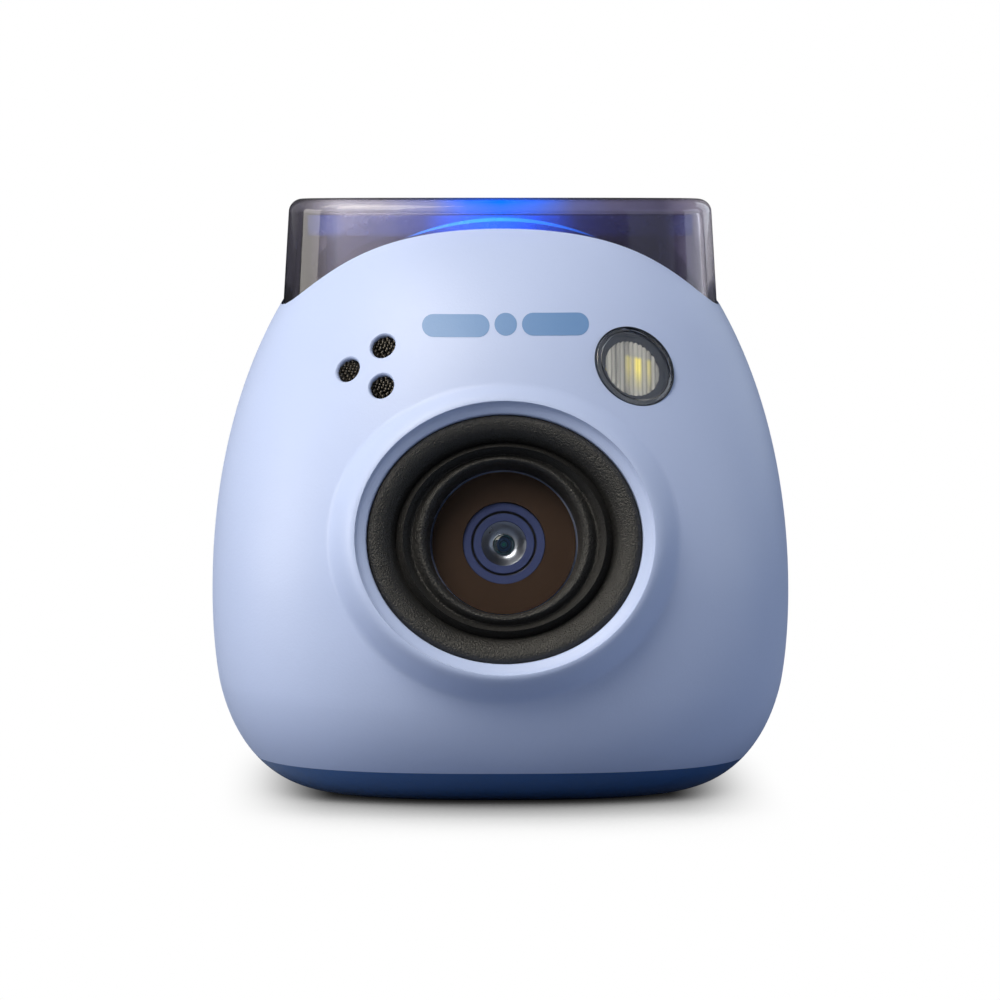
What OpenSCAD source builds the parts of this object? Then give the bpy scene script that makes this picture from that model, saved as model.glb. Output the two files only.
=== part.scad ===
// Palm-size camera: egg-shaped body, oval lens surround, smoked crown, large rear shutter button.
// Millimetres. +Z up, the front looks along -Y, and the origin is under the middle of the body.

/* [Body] */
// Width of the body at its widest
body_w = 42.3; // [42:0.1:43]
// Height from the table to the crown's flat top
body_h = 43; // [42.8:0.1:43.4]
// Depth from the lens lip to the shutter button's trim
body_d = 44.4; // [44:0.1:45]
// Wall thickness of the shells
wall = 1.4; // [1.3:0.05:1.5]
// Height of the base cover's split line
split_z = 2.4; // [2.3:0.05:2.6]

/* [Lens] */
// Height of the middle of the oval lip
lens_z = 19.4; // [19.2:0.1:19.6]
// How far the lens looks up, in degrees
lens_tilt = 12; // [11:0.5:13]
// Width of the lip round the lens
lip_w = 21.2; // [21:0.1:21.4]
// Height of the lip round the lens, seen from the front
lip_h = 19.1; // [19:0.1:19.2]

/* [Crown] */
// Width of the smoked crown at its top
crown_w = 30.9; // [30.6:0.1:31]
// Depth of the smoked crown
crown_d = 15.6; // [15.4:0.1:15.8]
// Wall thickness of the crown
crown_wall = 0.95; // [0.9:0.05:1.1]

/* [Shutter button] */
// Height of the button's axis
button_z = 18; // [17.8:0.1:18.2]
// Radius of the button's cap
button_r = 11.3; // [11.1:0.1:11.3]
// How far the button travels
button_travel = 0.6; // [0.4:0.1:0.6]

/* [Base] */
// Radius of the tripod socket's 1/4 inch thread
tripod_r = 3.2; // [3.175:0.005:3.2]
// How far the power button travels
power_travel = 0.3; // [0.2:0.05:0.3]

/* [Quality] */
// Points round each shell
shell_points = 72; // [48:12:84]
// Rings from the middle of each shell to its edge
shell_rings = 17; // [12:1:20]

/* [Hidden] */
$fn = 32;

clear = 0.15;                        // gap between outside parts that meet
thin = 0.05;                         // gap between inside parts that touch
front_reach = body_d * 22.05 / 44.4; // from the parting plane to the lip's lowest point
rear_reach = body_d - front_reach;   // from the parting plane to the trim
mid_shift = (front_reach - rear_reach) / 2;
front_bulk = front_reach - 2.05;
rear_bulk = rear_reach - 0.2;
wide_z = 14.2;                       // height of the widest section
deep_z = 13;                         // height of the deepest section
side_top = body_h + 3.15;            // where the side outline would close
front_top = body_h + 0.1;            // where the front outline would close
foot_w = 13;
foot_front = 12.1;
foot_rear = 12.6;
foot_p = 2.65;
side_p = 2.1;
front_p = 2.3;
rear_p = 3.2;
rear_n = 3.6;
crown_n = 3;
crown_low = body_h - 9;
crown_draft = 0.06;                  // widening of the crown for each millimetre down
lip_y = lip_h / 2 * tan(lens_tilt) - front_reach + 0.172;
recess = 4;                          // depth of the ledge below the lip
ledge = 1.2;
sensor_y = 14.9;                     // front face of the sensor board, back from the lip
axis_up = 0.15;                      // lens axis above the middle of the lip
sound_holes = [[-11.1, 31], [-8.6, 32.7], [-8.7, 29.9]];
sound_r = 0.9;
speaker_at = [-9.5, 31.2];
flash_at = [9.4, 31.3];
flash_r = 3.05;
trim_r = button_r + 0.95;
well_y = rear_reach - 5.7;           // floor of the button's well
board_y = well_y - 4.5;              // front face of the main board
plate_y = [board_y - 5.95, board_y - 4.55];
battery_y = [-0.1, 5.7];
bosses = [[-15, 12], [15, 12], [-14.6, 27], [14.6, 27]];
standoffs = [[-7.5, 9.8], [3.2, 6.9], [-9.5, 28.5], [9.5, 28.5]];
usb_y = board_y - 1.7;
card_y = board_y + 1.85;
frame_x = [15.9, 16.5];              // the wall behind the door
door_y = [board_y - 4.5, board_y + 3.5];
door_z = [9, 20];
hinge_at = [18.65, door_y[1] - 0.7];
port_z = (door_z[0] + door_z[1]) / 2;
power_at = [9.4, 0];
mode_at = [-9.4, 0];
leg_at = [8.2, 6.8];
post_x = 12.2;
column_x = 8.2;
wire_x = 5.8;

// ---- the body's own surface ----

function fall(t, p) = sqrt(max(0, 1 - pow(abs(t), p)));
function half_w(z, t = 0) = z >= wide_z
    ? (body_w / 2 - t) * fall((z - wide_z) / (side_top - t - wide_z), side_p)
    : foot_w - t + (body_w / 2 - foot_w) * fall((wide_z - z) / wide_z, foot_p);
function bulk(z, reach, foot, p, t) = z >= deep_z
    ? (reach - t) * fall((z - deep_z) / (front_top - t - deep_z), p)
    : foot - t + (reach - foot) * fall((deep_z - z) / deep_z, foot_p);
function front_d(z, t = 0) = bulk(z, front_bulk, foot_front, front_p, t);
// The section is rounder towards the crown than at the lens
function front_n(z) = 2.1 + 0.5 * min(1, max(0, (31 - z) / 15));
function rear_d(z, t = 0) = bulk(z, rear_bulk, foot_rear, rear_p, t);
function section(x, half, n) = pow(max(0, 1 - pow(min(1, abs(x) / half), n)), 1 / n);
function front_y(x, z, t = 0) = -front_d(z, t) * section(x, half_w(z, t), front_n(z));
function rear_y(x, z, t = 0) = rear_d(z, t) * section(x, half_w(z, t), rear_n);

// Smooth larger of two values, blended over k
function blend_max(a, b, k) = max(a, b) + pow(max(k - abs(a - b), 0) / k, 2) * k / 4;
function oval_r(phi, a, b) = 1 / sqrt(pow(cos(phi) / a, 2) + pow(sin(phi) / b, 2));
function lip_fall(out) = 1.25 * pow(max(0, out), 2);

// The crown's outline at a height
function crown_half_w(z, t = 0) = crown_w / 2 + (body_h - z) * crown_draft - t;
function crown_half_d(z, t = 0) = crown_d / 2 + (min(body_h, z) - 41) * -crown_draft - t;
function in_crown(x, y, z) =
    z > crown_low - 3 &&
    pow(abs(x) / crown_half_w(z, -clear), crown_n) + pow(abs(y) / crown_half_d(z, -clear), crown_n) < 1;

function surface_y(front, x, z, t) = front ? front_y(x, z, t) : rear_y(x, z, t);
function on_shell(front, x, z, t) =
    z > split_z && abs(x) < half_w(z, t) && !in_crown(x, surface_y(front, x, z, t), z);
// Length of the ray from [0, z0] at angle phi that stays on the shell
function ray_end(front, z0, phi, t, low = 5, high = 30, n = 34) =
    n == 0 ? low :
    let (r = (low + high) / 2)
    on_shell(front, r * cos(phi), z0 + r * sin(phi), t)
        ? ray_end(front, z0, phi, t, r, high, n - 1)
        : ray_end(front, z0, phi, t, low, r, n - 1);
function snap(y) = abs(y) < 0.02 ? 0 : y;

// Puts a point of the lens's own frame, with y back from the lip, into the body
function on_tilt(p) = [
    p[0],
    lip_y + p[1] * cos(lens_tilt) + p[2] * sin(lens_tilt),
    lens_z - p[1] * sin(lens_tilt) + p[2] * cos(lens_tilt)
];
function front_slope(at, step = 0.01) =
    let (y = front_y(at[0], at[1]))
    [(front_y(at[0] + step, at[1]) - y) / step, (front_y(at[0], at[1] + step) - y) / step];
// A point below the front surface, measured along its normal
function under_front(at, depth) =
    let (g = front_slope(at), n = [g[0], -1, g[1]] / norm([g[0], -1, g[1]]))
    [at[0], front_y(at[0], at[1]), at[1]] - n * depth;

// ---- building blocks ----

function flat(rings) = [for (ring = rings) each ring];

// A closed solid through rings of points. A loop joins the last ring to the first, else both ends are capped.
module loft(rings, loop = false, flip = false) {
    n = len(rings[0]);
    m = len(rings);
    sides = [
        for (i = [0 : loop ? m - 1 : m - 2], j = [0 : n - 1])
            let (k = (j + 1) % n, a = i * n + j, b = i * n + k, c = (i + 1) % m * n + k, d = (i + 1) % m * n + j)
            each flip ? [[a, b, c], [a, c, d]] : [[a, c, b], [a, d, c]]
    ];
    first = [for (j = [0 : n - 1]) flip ? n - 1 - j : j];
    last = [for (j = [0 : n - 1]) (m - 1) * n + (flip ? j : n - 1 - j)];
    polyhedron(points = flat(rings), faces = loop ? sides : concat(sides, [first, last]), convexity = 8);
}

// Centres the depth of the whole camera on the origin
module in_place() {
    translate([0, mid_shift, 0]) children();
}

module box(x, y, z) {
    translate([x[0], y[0], z[0]]) cube([x[1] - x[0], y[1] - y[0], z[1] - z[0]]);
}

// Along Y, with its profile drawn as [radius, y]
module turned_y(profile, z = 0, x = 0) {
    translate([x, 0, z]) rotate([-90, 0, 0]) rotate_extrude() polygon(profile);
}

module rod_y(r, y, x = 0, z = 0) {
    translate([x, y[0], z]) rotate([-90, 0, 0]) cylinder(r = r, h = y[1] - y[0]);
}

module rod_z(r, z, at = [0, 0]) {
    translate([at[0], at[1], z[0]]) cylinder(r = r, h = z[1] - z[0]);
}

module round_rect(w, h, r) {
    square([w - 2 * r, h], center = true);
    square([w, h - 2 * r], center = true);
    for (x = [-1, 1], y = [-1, 1]) translate([x * (w / 2 - r), y * (h / 2 - r)]) circle(r);
}

// A rounded plate that faces Y
module plate_facing_y(w, h, r, y, x = 0, z = 0) {
    translate([x, y[1], z]) rotate([90, 0, 0]) linear_extrude(y[1] - y[0]) round_rect(w, h, r);
}

// Puts its children on the front surface, their Z along the outward normal
module on_front(at) {
    g = front_slope(at);
    translate([at[0], front_y(at[0], at[1]), at[1]])
        rotate([0, acos(g[1] / norm([g[0], 1, g[1]])), atan2(-1, g[0])]) children();
}

// Puts its children in the lens's own frame, with Y back from the lip along the lens axis
module on_lens() {
    in_place() translate([0, lip_y, lens_z]) rotate([-lens_tilt, 0, 0]) translate([0, 0, axis_up]) children();
}

function unit(v) = v / norm(v);
// A square frame carried along a path, so that a tube doesn't twist
function tube_ring(path, i, r, sides) =
    let (
        n = len(path),
        along = unit(path[min(i + 1, n - 1)] - path[max(i - 1, 0)]),
        across = unit(cross(along, abs(along[0]) < 0.7 ? [1, 0, 0] : [0, 0, 1])),
        other = cross(along, across)
    )
    [for (j = [0 : sides - 1]) path[i] + r * (cos(j * 360 / sides) * across + sin(j * 360 / sides) * other)];

module tube(path, r, sides = 6) {
    loft([for (i = [0 : len(path) - 1]) tube_ring(path, i, r, sides)]);
}

// Points along a smooth curve through the given ones
function curve_point(p, i, u) =
    let (a = p[max(i - 1, 0)], b = p[i], c = p[i + 1], d = p[min(i + 2, len(p) - 1)])
    0.5 * (2 * b + (c - a) * u + (2 * a - 5 * b + 4 * c - d) * u * u + (3 * b - a - 3 * c + d) * u * u * u);
function smooth_path(p, steps = 4) = [
    for (i = [0 : len(p) - 2], k = [0 : steps - 1]) curve_point(p, i, k / steps),
    p[len(p) - 1]
];

// Two wires side by side along X
module wire_pair(path, gap = 0.9, r = 0.35) {
    for (side = [-0.5, 0.5]) tube(smooth_path([for (p = path) p + [side * gap, 0, 0]]), r);
}

// A screw whose head's outer face is at the origin and whose shank runs along -Z
module screw(r, length, head_r, head_h) {
    difference() {
        union() {
            translate([0, 0, -head_h]) cylinder(r = head_r, h = head_h);
            translate([0, 0, -length]) cylinder(r = r, h = length - head_h / 2);
        }
        for (a = [0, 90]) rotate(a) translate([-head_r * 0.6, -head_r * 0.13, -head_h * 0.6])
            cube([head_r * 1.2, head_r * 0.26, head_h]);
    }
}

// ---- shells ----

// Height at which the crown's side wall leaves the body's side
function crown_corner(t, low = 30, high = 40, n = 20) =
    let (z = (low + high) / 2)
    n == 0 ? z : half_w(z, t) > crown_half_w(z, -clear) ? crown_corner(t, z, high, n - 1) : crown_corner(t, low, z, n - 1);
// Angle of ray j, with the four corners of the shell each on a ray
function ray_angle(j, z0, t) =
    let (
        top = crown_corner(t),
        a = atan2(top - z0, half_w(top, t)),
        b = atan2(z0 - split_z, half_w(split_z, t))
    )
    lookup(j * 360 / shell_points, [[0, 0], [45, a], [135, 180 - a], [225, 180 + b], [315, 360 - b], [360, 360]]);
function shell_ring(front, z0, start, t, s) = [
    for (j = [0 : shell_points - 1])
        let (
            phi = ray_angle(j, z0, t),
            r0 = start(phi),
            r = r0 + (ray_end(front, z0, phi, t) - r0) * sin(90 * s),
            x = r * cos(phi),
            z = z0 + r * sin(phi)
        )
        [x, snap(front ? -lens_bulge(x, z, phi, r, t) : rear_y(x, z, t)), z]
];
function lip_r(phi) = oval_r(phi, lip_w / 2, lip_h / 2);
// The body's depth with the lens lip blended into its outside
function lens_bulge(x, z, phi, r, t) =
    let (body = -front_y(x, z, t), blend = 2.6 + (lens_z - z) * 0.12)
    t > 0 ? body : blend_max(body, -lip_y - (z - lens_z) * tan(lens_tilt) - lip_fall(r - lip_r(phi)), blend);
// A ring in the lens's own frame
function tilted_ring(a, b, y, up = 0) = [
    for (j = [0 : shell_points - 1])
        let (phi = j * 360 / shell_points, r = oval_r(phi, a, b / cos(lens_tilt)))
        on_tilt([r * cos(phi), y, up + r * sin(phi)])
];
function upright_ring(r, y) = [
    for (j = [0 : shell_points - 1]) [r * cos(j * 360 / shell_points), y, button_z + r * sin(j * 360 / shell_points)]
];

module front_shell() {
    outer = function (phi) lip_r(phi);
    inner = function (phi) lip_r(phi) + 1;
    cup = [lip_w / 2 - 0.85, lip_h / 2 - 0.85];
    color("#b9c6e4") in_place() difference() {
        union() {
            loft(concat(
                [for (k = [shell_rings : -1 : 0]) shell_ring(true, lens_z, outer, 0, k / shell_rings)],
                [
                    tilted_ring(cup[0] + 0.72, cup[1] + 0.72, 0.16),
                    tilted_ring(cup[0] + 0.1, cup[1] + 0.1, 0.5),
                    tilted_ring(cup[0], cup[1], recess),
                    tilted_ring(4.6, 4.6, recess, axis_up),
                    tilted_ring(4.6, 4.6, recess + ledge, axis_up),
                    tilted_ring(cup[0] + 1.1, cup[1] + 1.1, recess + ledge)
                ],
                [for (k = [0 : shell_rings]) shell_ring(true, lens_z, inner, wall, k / shell_rings)]
            ), loop = true);
            // screw bosses for the chassis
            for (b = bosses) rod_y(1.8, [
                front_y(b[0] + sign(b[0]) * 1.8, b[1] + sign(b[1] - wide_z) * 1.3) + 0.1, plate_y[0] - thin
            ], b[0], b[1], $fn = 20);
        }
        for (b = bosses) rod_y(0.85, [plate_y[0] - 6, plate_y[0] + 1], b[0], b[1], $fn = 16);
        for (h = sound_holes) on_front(h) {
            translate([0, 0, -0.6]) cylinder(r = sound_r, h = 2, $fn = 24);
            translate([0, 0, -3]) cylinder(r = sound_r + 0.35, h = 2.4, $fn = 24);
        }
        on_front(flash_at) {
            translate([0, 0, -1]) cylinder(r = flash_r + 0.07, h = 4, $fn = 40);
            translate([0, 0, -4]) cylinder(r = flash_r - 0.5, h = 5, $fn = 40);
        }
        crown_room(0.1);
    }
}

module rear_shell() {
    hole = function (phi) trim_r + 0.05;
    well = function (phi) trim_r + wall;
    color("#b9c6e4") in_place() difference() {
        union() {
            loft(concat(
                [for (k = [shell_rings : -1 : 0]) shell_ring(false, button_z, hole, 0, k / shell_rings)],
                [
                    upright_ring(trim_r + 0.05, well_y),
                    upright_ring(3.2, well_y),
                    upright_ring(3.2, well_y - ledge),
                    upright_ring(trim_r + wall - 0.4, well_y - ledge)
                ],
                [for (k = [0 : shell_rings]) shell_ring(false, button_z, well, wall, k / shell_rings)]
            ), loop = true, flip = true);
            // ears that hold the door's pin
            for (z = [door_z[0] - 1, door_z[1]]) box([17.4, 18.5], [hinge_at[1] - 0.8, hinge_at[1] + 0.9], [z, z + 1]);
        }
        box([15, 24], door_y, door_z);
        rod_z(1.2, door_z, hinge_at, $fn = 32);
        rod_z(0.35, [door_z[0] - 0.75, door_z[1] + 0.75], hinge_at, $fn = 24);
        crown_room(0.1);
    }
}

// ---- base ----

function outline_point(a, front, rear, theta) =
    let (c = cos(theta), s = sin(theta))
    let (n = s <= 0 ? front_n(0) : rear_n)
    [a * sign(c) * pow(abs(c), 2 / n), (s <= 0 ? -front : rear) * pow(abs(s), 2 / n)];
function base_ring(z, t, level) = [
    for (j = [0 : shell_points - 1])
        let (p = outline_point(half_w(z, t), front_d(z, t), rear_d(z, t), j * 360 / shell_points))
        [p[0], p[1], level]
];

module base_cover() {
    lip_gap = wall + 0.1;
    color("#1c3566") in_place() difference() {
        loft(concat(
            [for (k = [0 : 6]) let (z = split_z * pow(k / 6, 1.8)) base_ring(z, 0, z)],
            [
                base_ring(split_z, lip_gap, split_z),
                base_ring(split_z, lip_gap, split_z + 1.2),
                base_ring(split_z, lip_gap + 1, split_z + 1.2),
                base_ring(wall, wall + 1.6, wall)
            ]
        ));
        rod_z(4.6, [-1, 3]);
        rod_z(1.75, [-1, 3], power_at);
        translate([mode_at[0], mode_at[1], -1]) linear_extrude(4) round_rect(2, 4.8, 0.4);
        for (x = [-1, 1], y = [-1, 1]) {
            rod_z(0.9, [-1, 3], [x * leg_at[0], y * leg_at[1]]);
            rod_z(1.6, [-1, 0.75], [x * leg_at[0], y * leg_at[1]]);
        }
    }
}

module tripod_socket() {
    color("#b8bcc4") in_place() difference() {
        union() {
            rod_z(4.5, [0.1, 5.8]);
            rod_z(5.1, [wall + thin, 2.6]);
        }
        rod_z(tripod_r, [-1, 5.1]);
    }
}

module power_button() {
    color("#1c3566") in_place() {
        rod_z(1.68, [0.2, 1.6], power_at);
        rod_z(2.3, [1.55, 2.05], power_at);
        rod_z(0.7, [2, 2.4], power_at);
    }
}

module power_plunger() {
    color("#d9d9d4") in_place() rod_z(0.6, [2.42, 3.4], power_at);
}

module power_switch() {
    color("#8c9096") in_place() difference() {
        box([power_at[0] - 1.9, power_at[0] + 1.9], [-1.6, 1.6], [2.9, 4.4]);
        rod_z(0.66, [2, 3.8], power_at);
    }
}

module mode_slider() {
    color("#d5dbe8") in_place() difference() {
        union() {
            box([mode_at[0] - 0.9, mode_at[0] + 0.9], [-2.25, -0.05], [0.2, 1.6]);
            box([mode_at[0] - 1.6, mode_at[0] + 1.6], [-2.7, 0.4], [1.5, 2.1]);
            for (y = [-1.9, -1.2, -0.5]) box([mode_at[0] - 0.6, mode_at[0] + 0.6], [y, y + 0.1], [0.1, 0.3]);
        }
        box([mode_at[0] - 0.5, mode_at[0] + 0.5], [-1.65, -0.65], [1.1, 3]);
    }
}

module mode_lever() {
    color("#2b2b2e") in_place() box([mode_at[0] - 0.42, mode_at[0] + 0.42], [-1.57, -0.73], [1.2, 3.4]);
}

module mode_switch() {
    color("#8c9096") in_place() difference() {
        box([mode_at[0] - 1.7, mode_at[0] + 1.7], [-3.2, 3.2], [2.6, 4.4]);
        box([mode_at[0] - 0.5, mode_at[0] + 0.5], [-1.75, 1.45], [2, 3.6]);
    }
}

module base_board() {
    color("#1f5a3a") in_place() difference() {
        translate([0, 0, 4.42]) linear_extrude(0.6) round_rect(24, 12.4, 1);
        rod_z(5.4, [4, 6]);
        for (x = [-1, 1], y = [-1, 1]) rod_z(2.35, [4, 6], [x * leg_at[0], y * leg_at[1]]);
    }
}

module base_screws() {
    color("#3a3c40") in_place() for (x = [-1, 1], y = [-1, 1])
        translate([x * leg_at[0], y * leg_at[1], 0.2]) rotate([180, 0, 0]) screw(0.75, 4.6, 1.45, 0.5);
}

// ---- crown ----

function crown_ring(t, shrink, z) = [
    for (j = [0 : shell_points - 1])
        let (c = cos(j * 360 / shell_points), s = sin(j * 360 / shell_points))
        [
            (crown_half_w(z, t) - shrink) * sign(c) * pow(abs(c), 2 / crown_n),
            (crown_half_d(z, t) - shrink) * sign(s) * pow(abs(s), 2 / crown_n),
            z
        ]
];

// The crown's outside, widened all round, which the shells are cut back to
module crown_room(gap) {
    loft([crown_ring(-gap, 0, body_h), crown_ring(-gap, 0, crown_low - 3)]);
}

module top_cover() {
    edge_r = 0.9;
    inner_top = body_h - crown_wall;
    color("#6d6a80", 0.6) in_place() loft(concat(
        [for (a = [90 : -15 : 0]) crown_ring(0, edge_r * (1 - cos(a)), body_h - edge_r + edge_r * sin(a))],
        [
            crown_ring(0, 0, crown_low),
            crown_ring(crown_wall, 0, crown_low),
            crown_ring(crown_wall, 0, inner_top - 0.3),
            crown_ring(crown_wall, 0.3, inner_top)
        ]
    ));
}

// A bar with two legs that stand on the LED board and carry its light to the crown
module light_guide() {
    color("#cfe4f5", 0.7) in_place() {
        translate([0, 0, 40.3]) linear_extrude(1.6) round_rect(28.4, 3, 1.2);
        for (side = [-1, 1]) box([side * post_x - 0.5, side * post_x + 0.5], [-1.2, 1.2], [37.1, 40.35]);
    }
}

module led_board() {
    color("#1f5a3a") in_place() translate([0, 0, 36.25]) linear_extrude(0.8) union() {
        round_rect(26, 8, 1);
        for (x = [-column_x, column_x]) translate([x, 4.6]) round_rect(2.4, 3.6, 0.3);
    }
}

module status_leds() {
    color("#e9eef4") in_place() for (x = [-6, 0, 6]) {
        box([x - 0.8, x + 0.8], [-0.5, 0.5], [37.06, 37.5]);
        box([x - 0.5, x + 0.5], [-0.4, 0.4], [37.5, 37.7]);
    }
}

// ---- lens ----

// Half width and half height of each ring of the oval bezel, and its depth below the lip
module lens_bezel() {
    steps = [
        [9.7, 8.66, 3.95], [9.7, 8.66, 0.8], [9.55, 8.53, 0.6], [9.2, 8.22, 0.5], [8.6, 7.7, 0.7], [8.15, 7.3, 1.1],
        [7.85, 7.05, 1.6],
        [7.7, 6.92, 1.95], [7.4, 6.68, 1.45], [7.2, 6.52, 1.15], [7.05, 6.42, 1.4], [6.6, 6.1, 2.05],
        [6.2, 5.86, 1.65], [5.9, 5.68, 1.5], [5.55, 5.46, 1.8], [5.3, 5.3, 2.6], [5.25, 5.25, 3.95]
    ];
    color("#1d1d1f") in_place() loft([
        for (s = steps)
            let (mix = (s[0] - 5.25) / (9.7 - 5.25))
            tilted_ring(s[0], s[1] * (mix + (1 - mix) * cos(lens_tilt)), s[2], axis_up * (1 - mix))
    ], loop = true);
}

module cover_glass() {
    color("#3a2e24", 0.8) on_lens() turned_y([[0, 3.7], [5.2, 3.7], [5.2, 3.05], [5.05, 2.9], [0, 2.9]]);
}

module lens_mask() {
    color("#38291f") on_lens() turned_y([[2.95, 3.75], [5.1, 3.75], [5.1, 3.95], [2.95, 3.95]]);
}

// The barrel's stepped face, with the bore for the elements behind it
module lens_barrel() {
    y = recess - 0.05;
    color("#2b3350") on_lens() turned_y([
        [2.91, y], [2.35, y], [2.25, y + 0.3], [2.15, y + 0.05], [1.65, y + 0.15], [1.1, y + 0.9], [1.1, y + 1.3],
        [2.5, y + 1.3], [2.5, 11.2], [3.4, 11.2], [3.4, y + 1.1], [2.91, y + 1.1]
    ], $fn = 64);
}

// A round lens element between two arcs, from one y to another, with its sags
module element(r, y, sag) {
    arc = 6;
    color("#9fb4c8", 0.5) on_lens() turned_y(concat(
        [[0, y[0] - sag[0]]],
        [for (k = [1 : arc]) [r * k / arc, y[0] - sag[0] * (1 - pow(k / arc, 2))]],
        [for (k = [arc : -1 : 1]) [r * k / arc, y[1] + sag[1] * (1 - pow(k / arc, 2))]],
        [[0, y[1] + sag[1]]]
    ));
}

module front_element() {
    element(2.45, [5.8, 6.2], [0.45, -0.2]);
}

module middle_element() {
    element(2.45, [7, 7.7], [-0.25, 0.35]);
}

module rear_element() {
    element(2.45, [8.8, 9.8], [0.3, 0.3]);
}

module aperture_stop() {
    color("#151517") on_lens() turned_y([[0.7, 6.35], [2.45, 6.35], [2.45, 6.55], [0.7, 6.55]]);
}

// Flange bonded behind the ledge, a tube round the barrel, and the sensor's housing
module lens_holder() {
    color("#202124") on_lens() difference() {
        union() {
            plate_facing_y(15, 12, 1.5, [5.25, 6.25]);
            rod_y(4.3, [6.2, 10.7]);
            plate_facing_y(8.6, 8.6, 0.8, [10.6, sensor_y - thin]);
        }
        rod_y(3.45, [4, 11.3]);
        rod_y(2.2, [11, 12.4]);
        plate_facing_y(6.6, 6.4, 0.4, [12.2, 17]);
    }
}

module infrared_filter() {
    color("#7fd0c8", 0.6) on_lens() plate_facing_y(5.6, 5.4, 0.3, [12.6, 12.9]);
}

module image_sensor() {
    color("#26303a") on_lens() {
        plate_facing_y(5.6, 5.1, 0.2, [sensor_y - 0.9, sensor_y - 0.02]);
        plate_facing_y(4, 3.2, 0.1, [sensor_y - 0.95, sensor_y - 0.85]);
    }
}

module sensor_board() {
    color("#1f5a3a") on_lens() {
        plate_facing_y(9, 9, 0.6, [sensor_y, sensor_y + 0.8]);
        for (x = [-3, -1, 1, 3]) box([x - 0.5, x + 0.5], [sensor_y + 0.78, sensor_y + 1.2], [2, 2.6]);
    }
}

// Flat ribbon along a path in the YZ plane
module ribbon(path, w, t) {
    loft([
        for (i = [0 : len(path) - 1])
            let (along = unit(path[min(i + 1, len(path) - 1)] - path[max(i - 1, 0)]), up = [0, -along[2], along[1]])
            [for (c = [[-1, -1], [1, -1], [1, 1], [-1, 1]]) path[i] + [c[0] * w / 2, 0, 0] + up * c[1] * t / 2]
    ]);
}

module sensor_flex() {
    color("#b07a35") in_place() ribbon(smooth_path([
        on_tilt([0, sensor_y + 0.95, 0.6]), on_tilt([0, sensor_y + 1, -1.6]), [0, -3.8, 12], [0, -2, 9.6],
        [0, 2, 8.6], [0, plate_y[1], 8.45], [0, board_y - 1.8, 8.7], [0, board_y - 0.5, 10], [0, board_y - 0.2, 12.5]
    ]), 3.6, 0.15);
}

// ---- flash ----

module flash_window() {
    color("#d7dde6", 0.5) in_place() on_front(flash_at) intersection() {
        translate([0, 0, -0.78]) cylinder(r = flash_r, h = 1.5, $fn = 96);
        translate([0, 0, -17.9]) sphere(18, $fn = 96);
    }
}

module flash_mask() {
    color("#141c33") in_place() on_front(flash_at) translate([0, 0, -0.96]) difference() {
        cylinder(r = flash_r - 0.05, h = 0.14);
        translate([0, 0, -1]) cylinder(r = 2, h = 3);
    }
}

module flash_reflector() {
    color("#c9cdd3") in_place() on_front(flash_at) difference() {
        translate([0, 0, -3.3]) cylinder(r = 2.45, h = 2.3);
        translate([0, 0, -2.95]) cylinder(r1 = 1.5, r2 = 2.2, h = 2);
        translate([-1.05, -0.85, -4]) cube([2.1, 1.7, 2]);
    }
}

module flash_led() {
    color("#e8c84a") in_place() on_front(flash_at) {
        translate([-1, -0.8, -3.28]) cube([2, 1.6, 0.5]);
        translate([-0.7, -0.6, -2.8]) cube([1.4, 1.2, 0.15]);
    }
}

module flash_board() {
    color("#1f5a3a") in_place() on_front(flash_at) translate([0, 0, -4]) cylinder(r = 3.2, h = 0.68);
}

// ---- sound ----

module sound_mesh() {
    color("#3c3a38") in_place() for (h = sound_holes) on_front(h)
        translate([0, 0, -0.8]) cylinder(r = sound_r + 0.3, h = 0.15);
}

module speaker() {
    color("#9a9ca0") in_place() on_front(speaker_at) {
        translate([0, 0, -4.6]) cylinder(r = 3, h = 1.2);
        translate([0, 0, -3.6]) cylinder(r = 3.4, h = 1.15);
    }
}

module speaker_gasket() {
    color("#2a2a2a") in_place() on_front(speaker_at) difference() {
        translate([0, 0, -2.42]) cylinder(r = 3.3, h = 0.45);
        translate([0, 0, -3]) cylinder(r = 2.5, h = 2);
    }
}

// ---- chassis, battery and boards ----

module chassis() {
    legs = [for (x = [-1, 1], y = [-1, 1]) [x * leg_at[0], y * leg_at[1]]];
    color("#e6e6e2") in_place() difference() {
        union() {
            plate_facing_y(33.6, 24, 3, plate_y, 0, 19.2);
            translate([0, 0, 6.2]) linear_extrude(1.2) round_rect(22, 17, 1.5);
            // columns that step forward to the LED board
            for (x = [-column_x, column_x]) {
                box([x - 1.2, x + 1.2], plate_y, [30, 33.6]);
                box([x - 1.2, x + 1.2], [4.6, plate_y[1]], [32.4, 33.6]);
                box([x - 1.2, x + 1.2], [4.6, 6.4], [33, 36.2]);
            }
            for (p = standoffs) rod_y(1.7, [plate_y[1] - 0.1, board_y - 0.03], p[0], p[1]);
            for (leg = legs) rod_z(1.7, [wall + thin, 6.3], leg);
            for (x = [power_at[0], mode_at[0]]) rod_z(1, [5.05, 6.3], [x, 2.6]);
            // battery tray
            for (x = [-13, 12.2]) box([x, x + 0.8], [2, plate_y[0] + 0.1], [13.5, 22]);
        }
        for (b = bosses) rod_y(0.85, [plate_y[0] - 1, plate_y[1] + 1], b[0], b[1]);
        for (p = standoffs) rod_y(0.85, [plate_y[1] + 0.6, board_y + 1], p[0], p[1]);
        for (leg = legs) rod_z(0.85, [1, 5.9], leg);
        box([-2.6, 2.6], [plate_y[0] - 0.5, plate_y[1] + 0.5], [7.5, 9.4]);
    }
}

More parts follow.
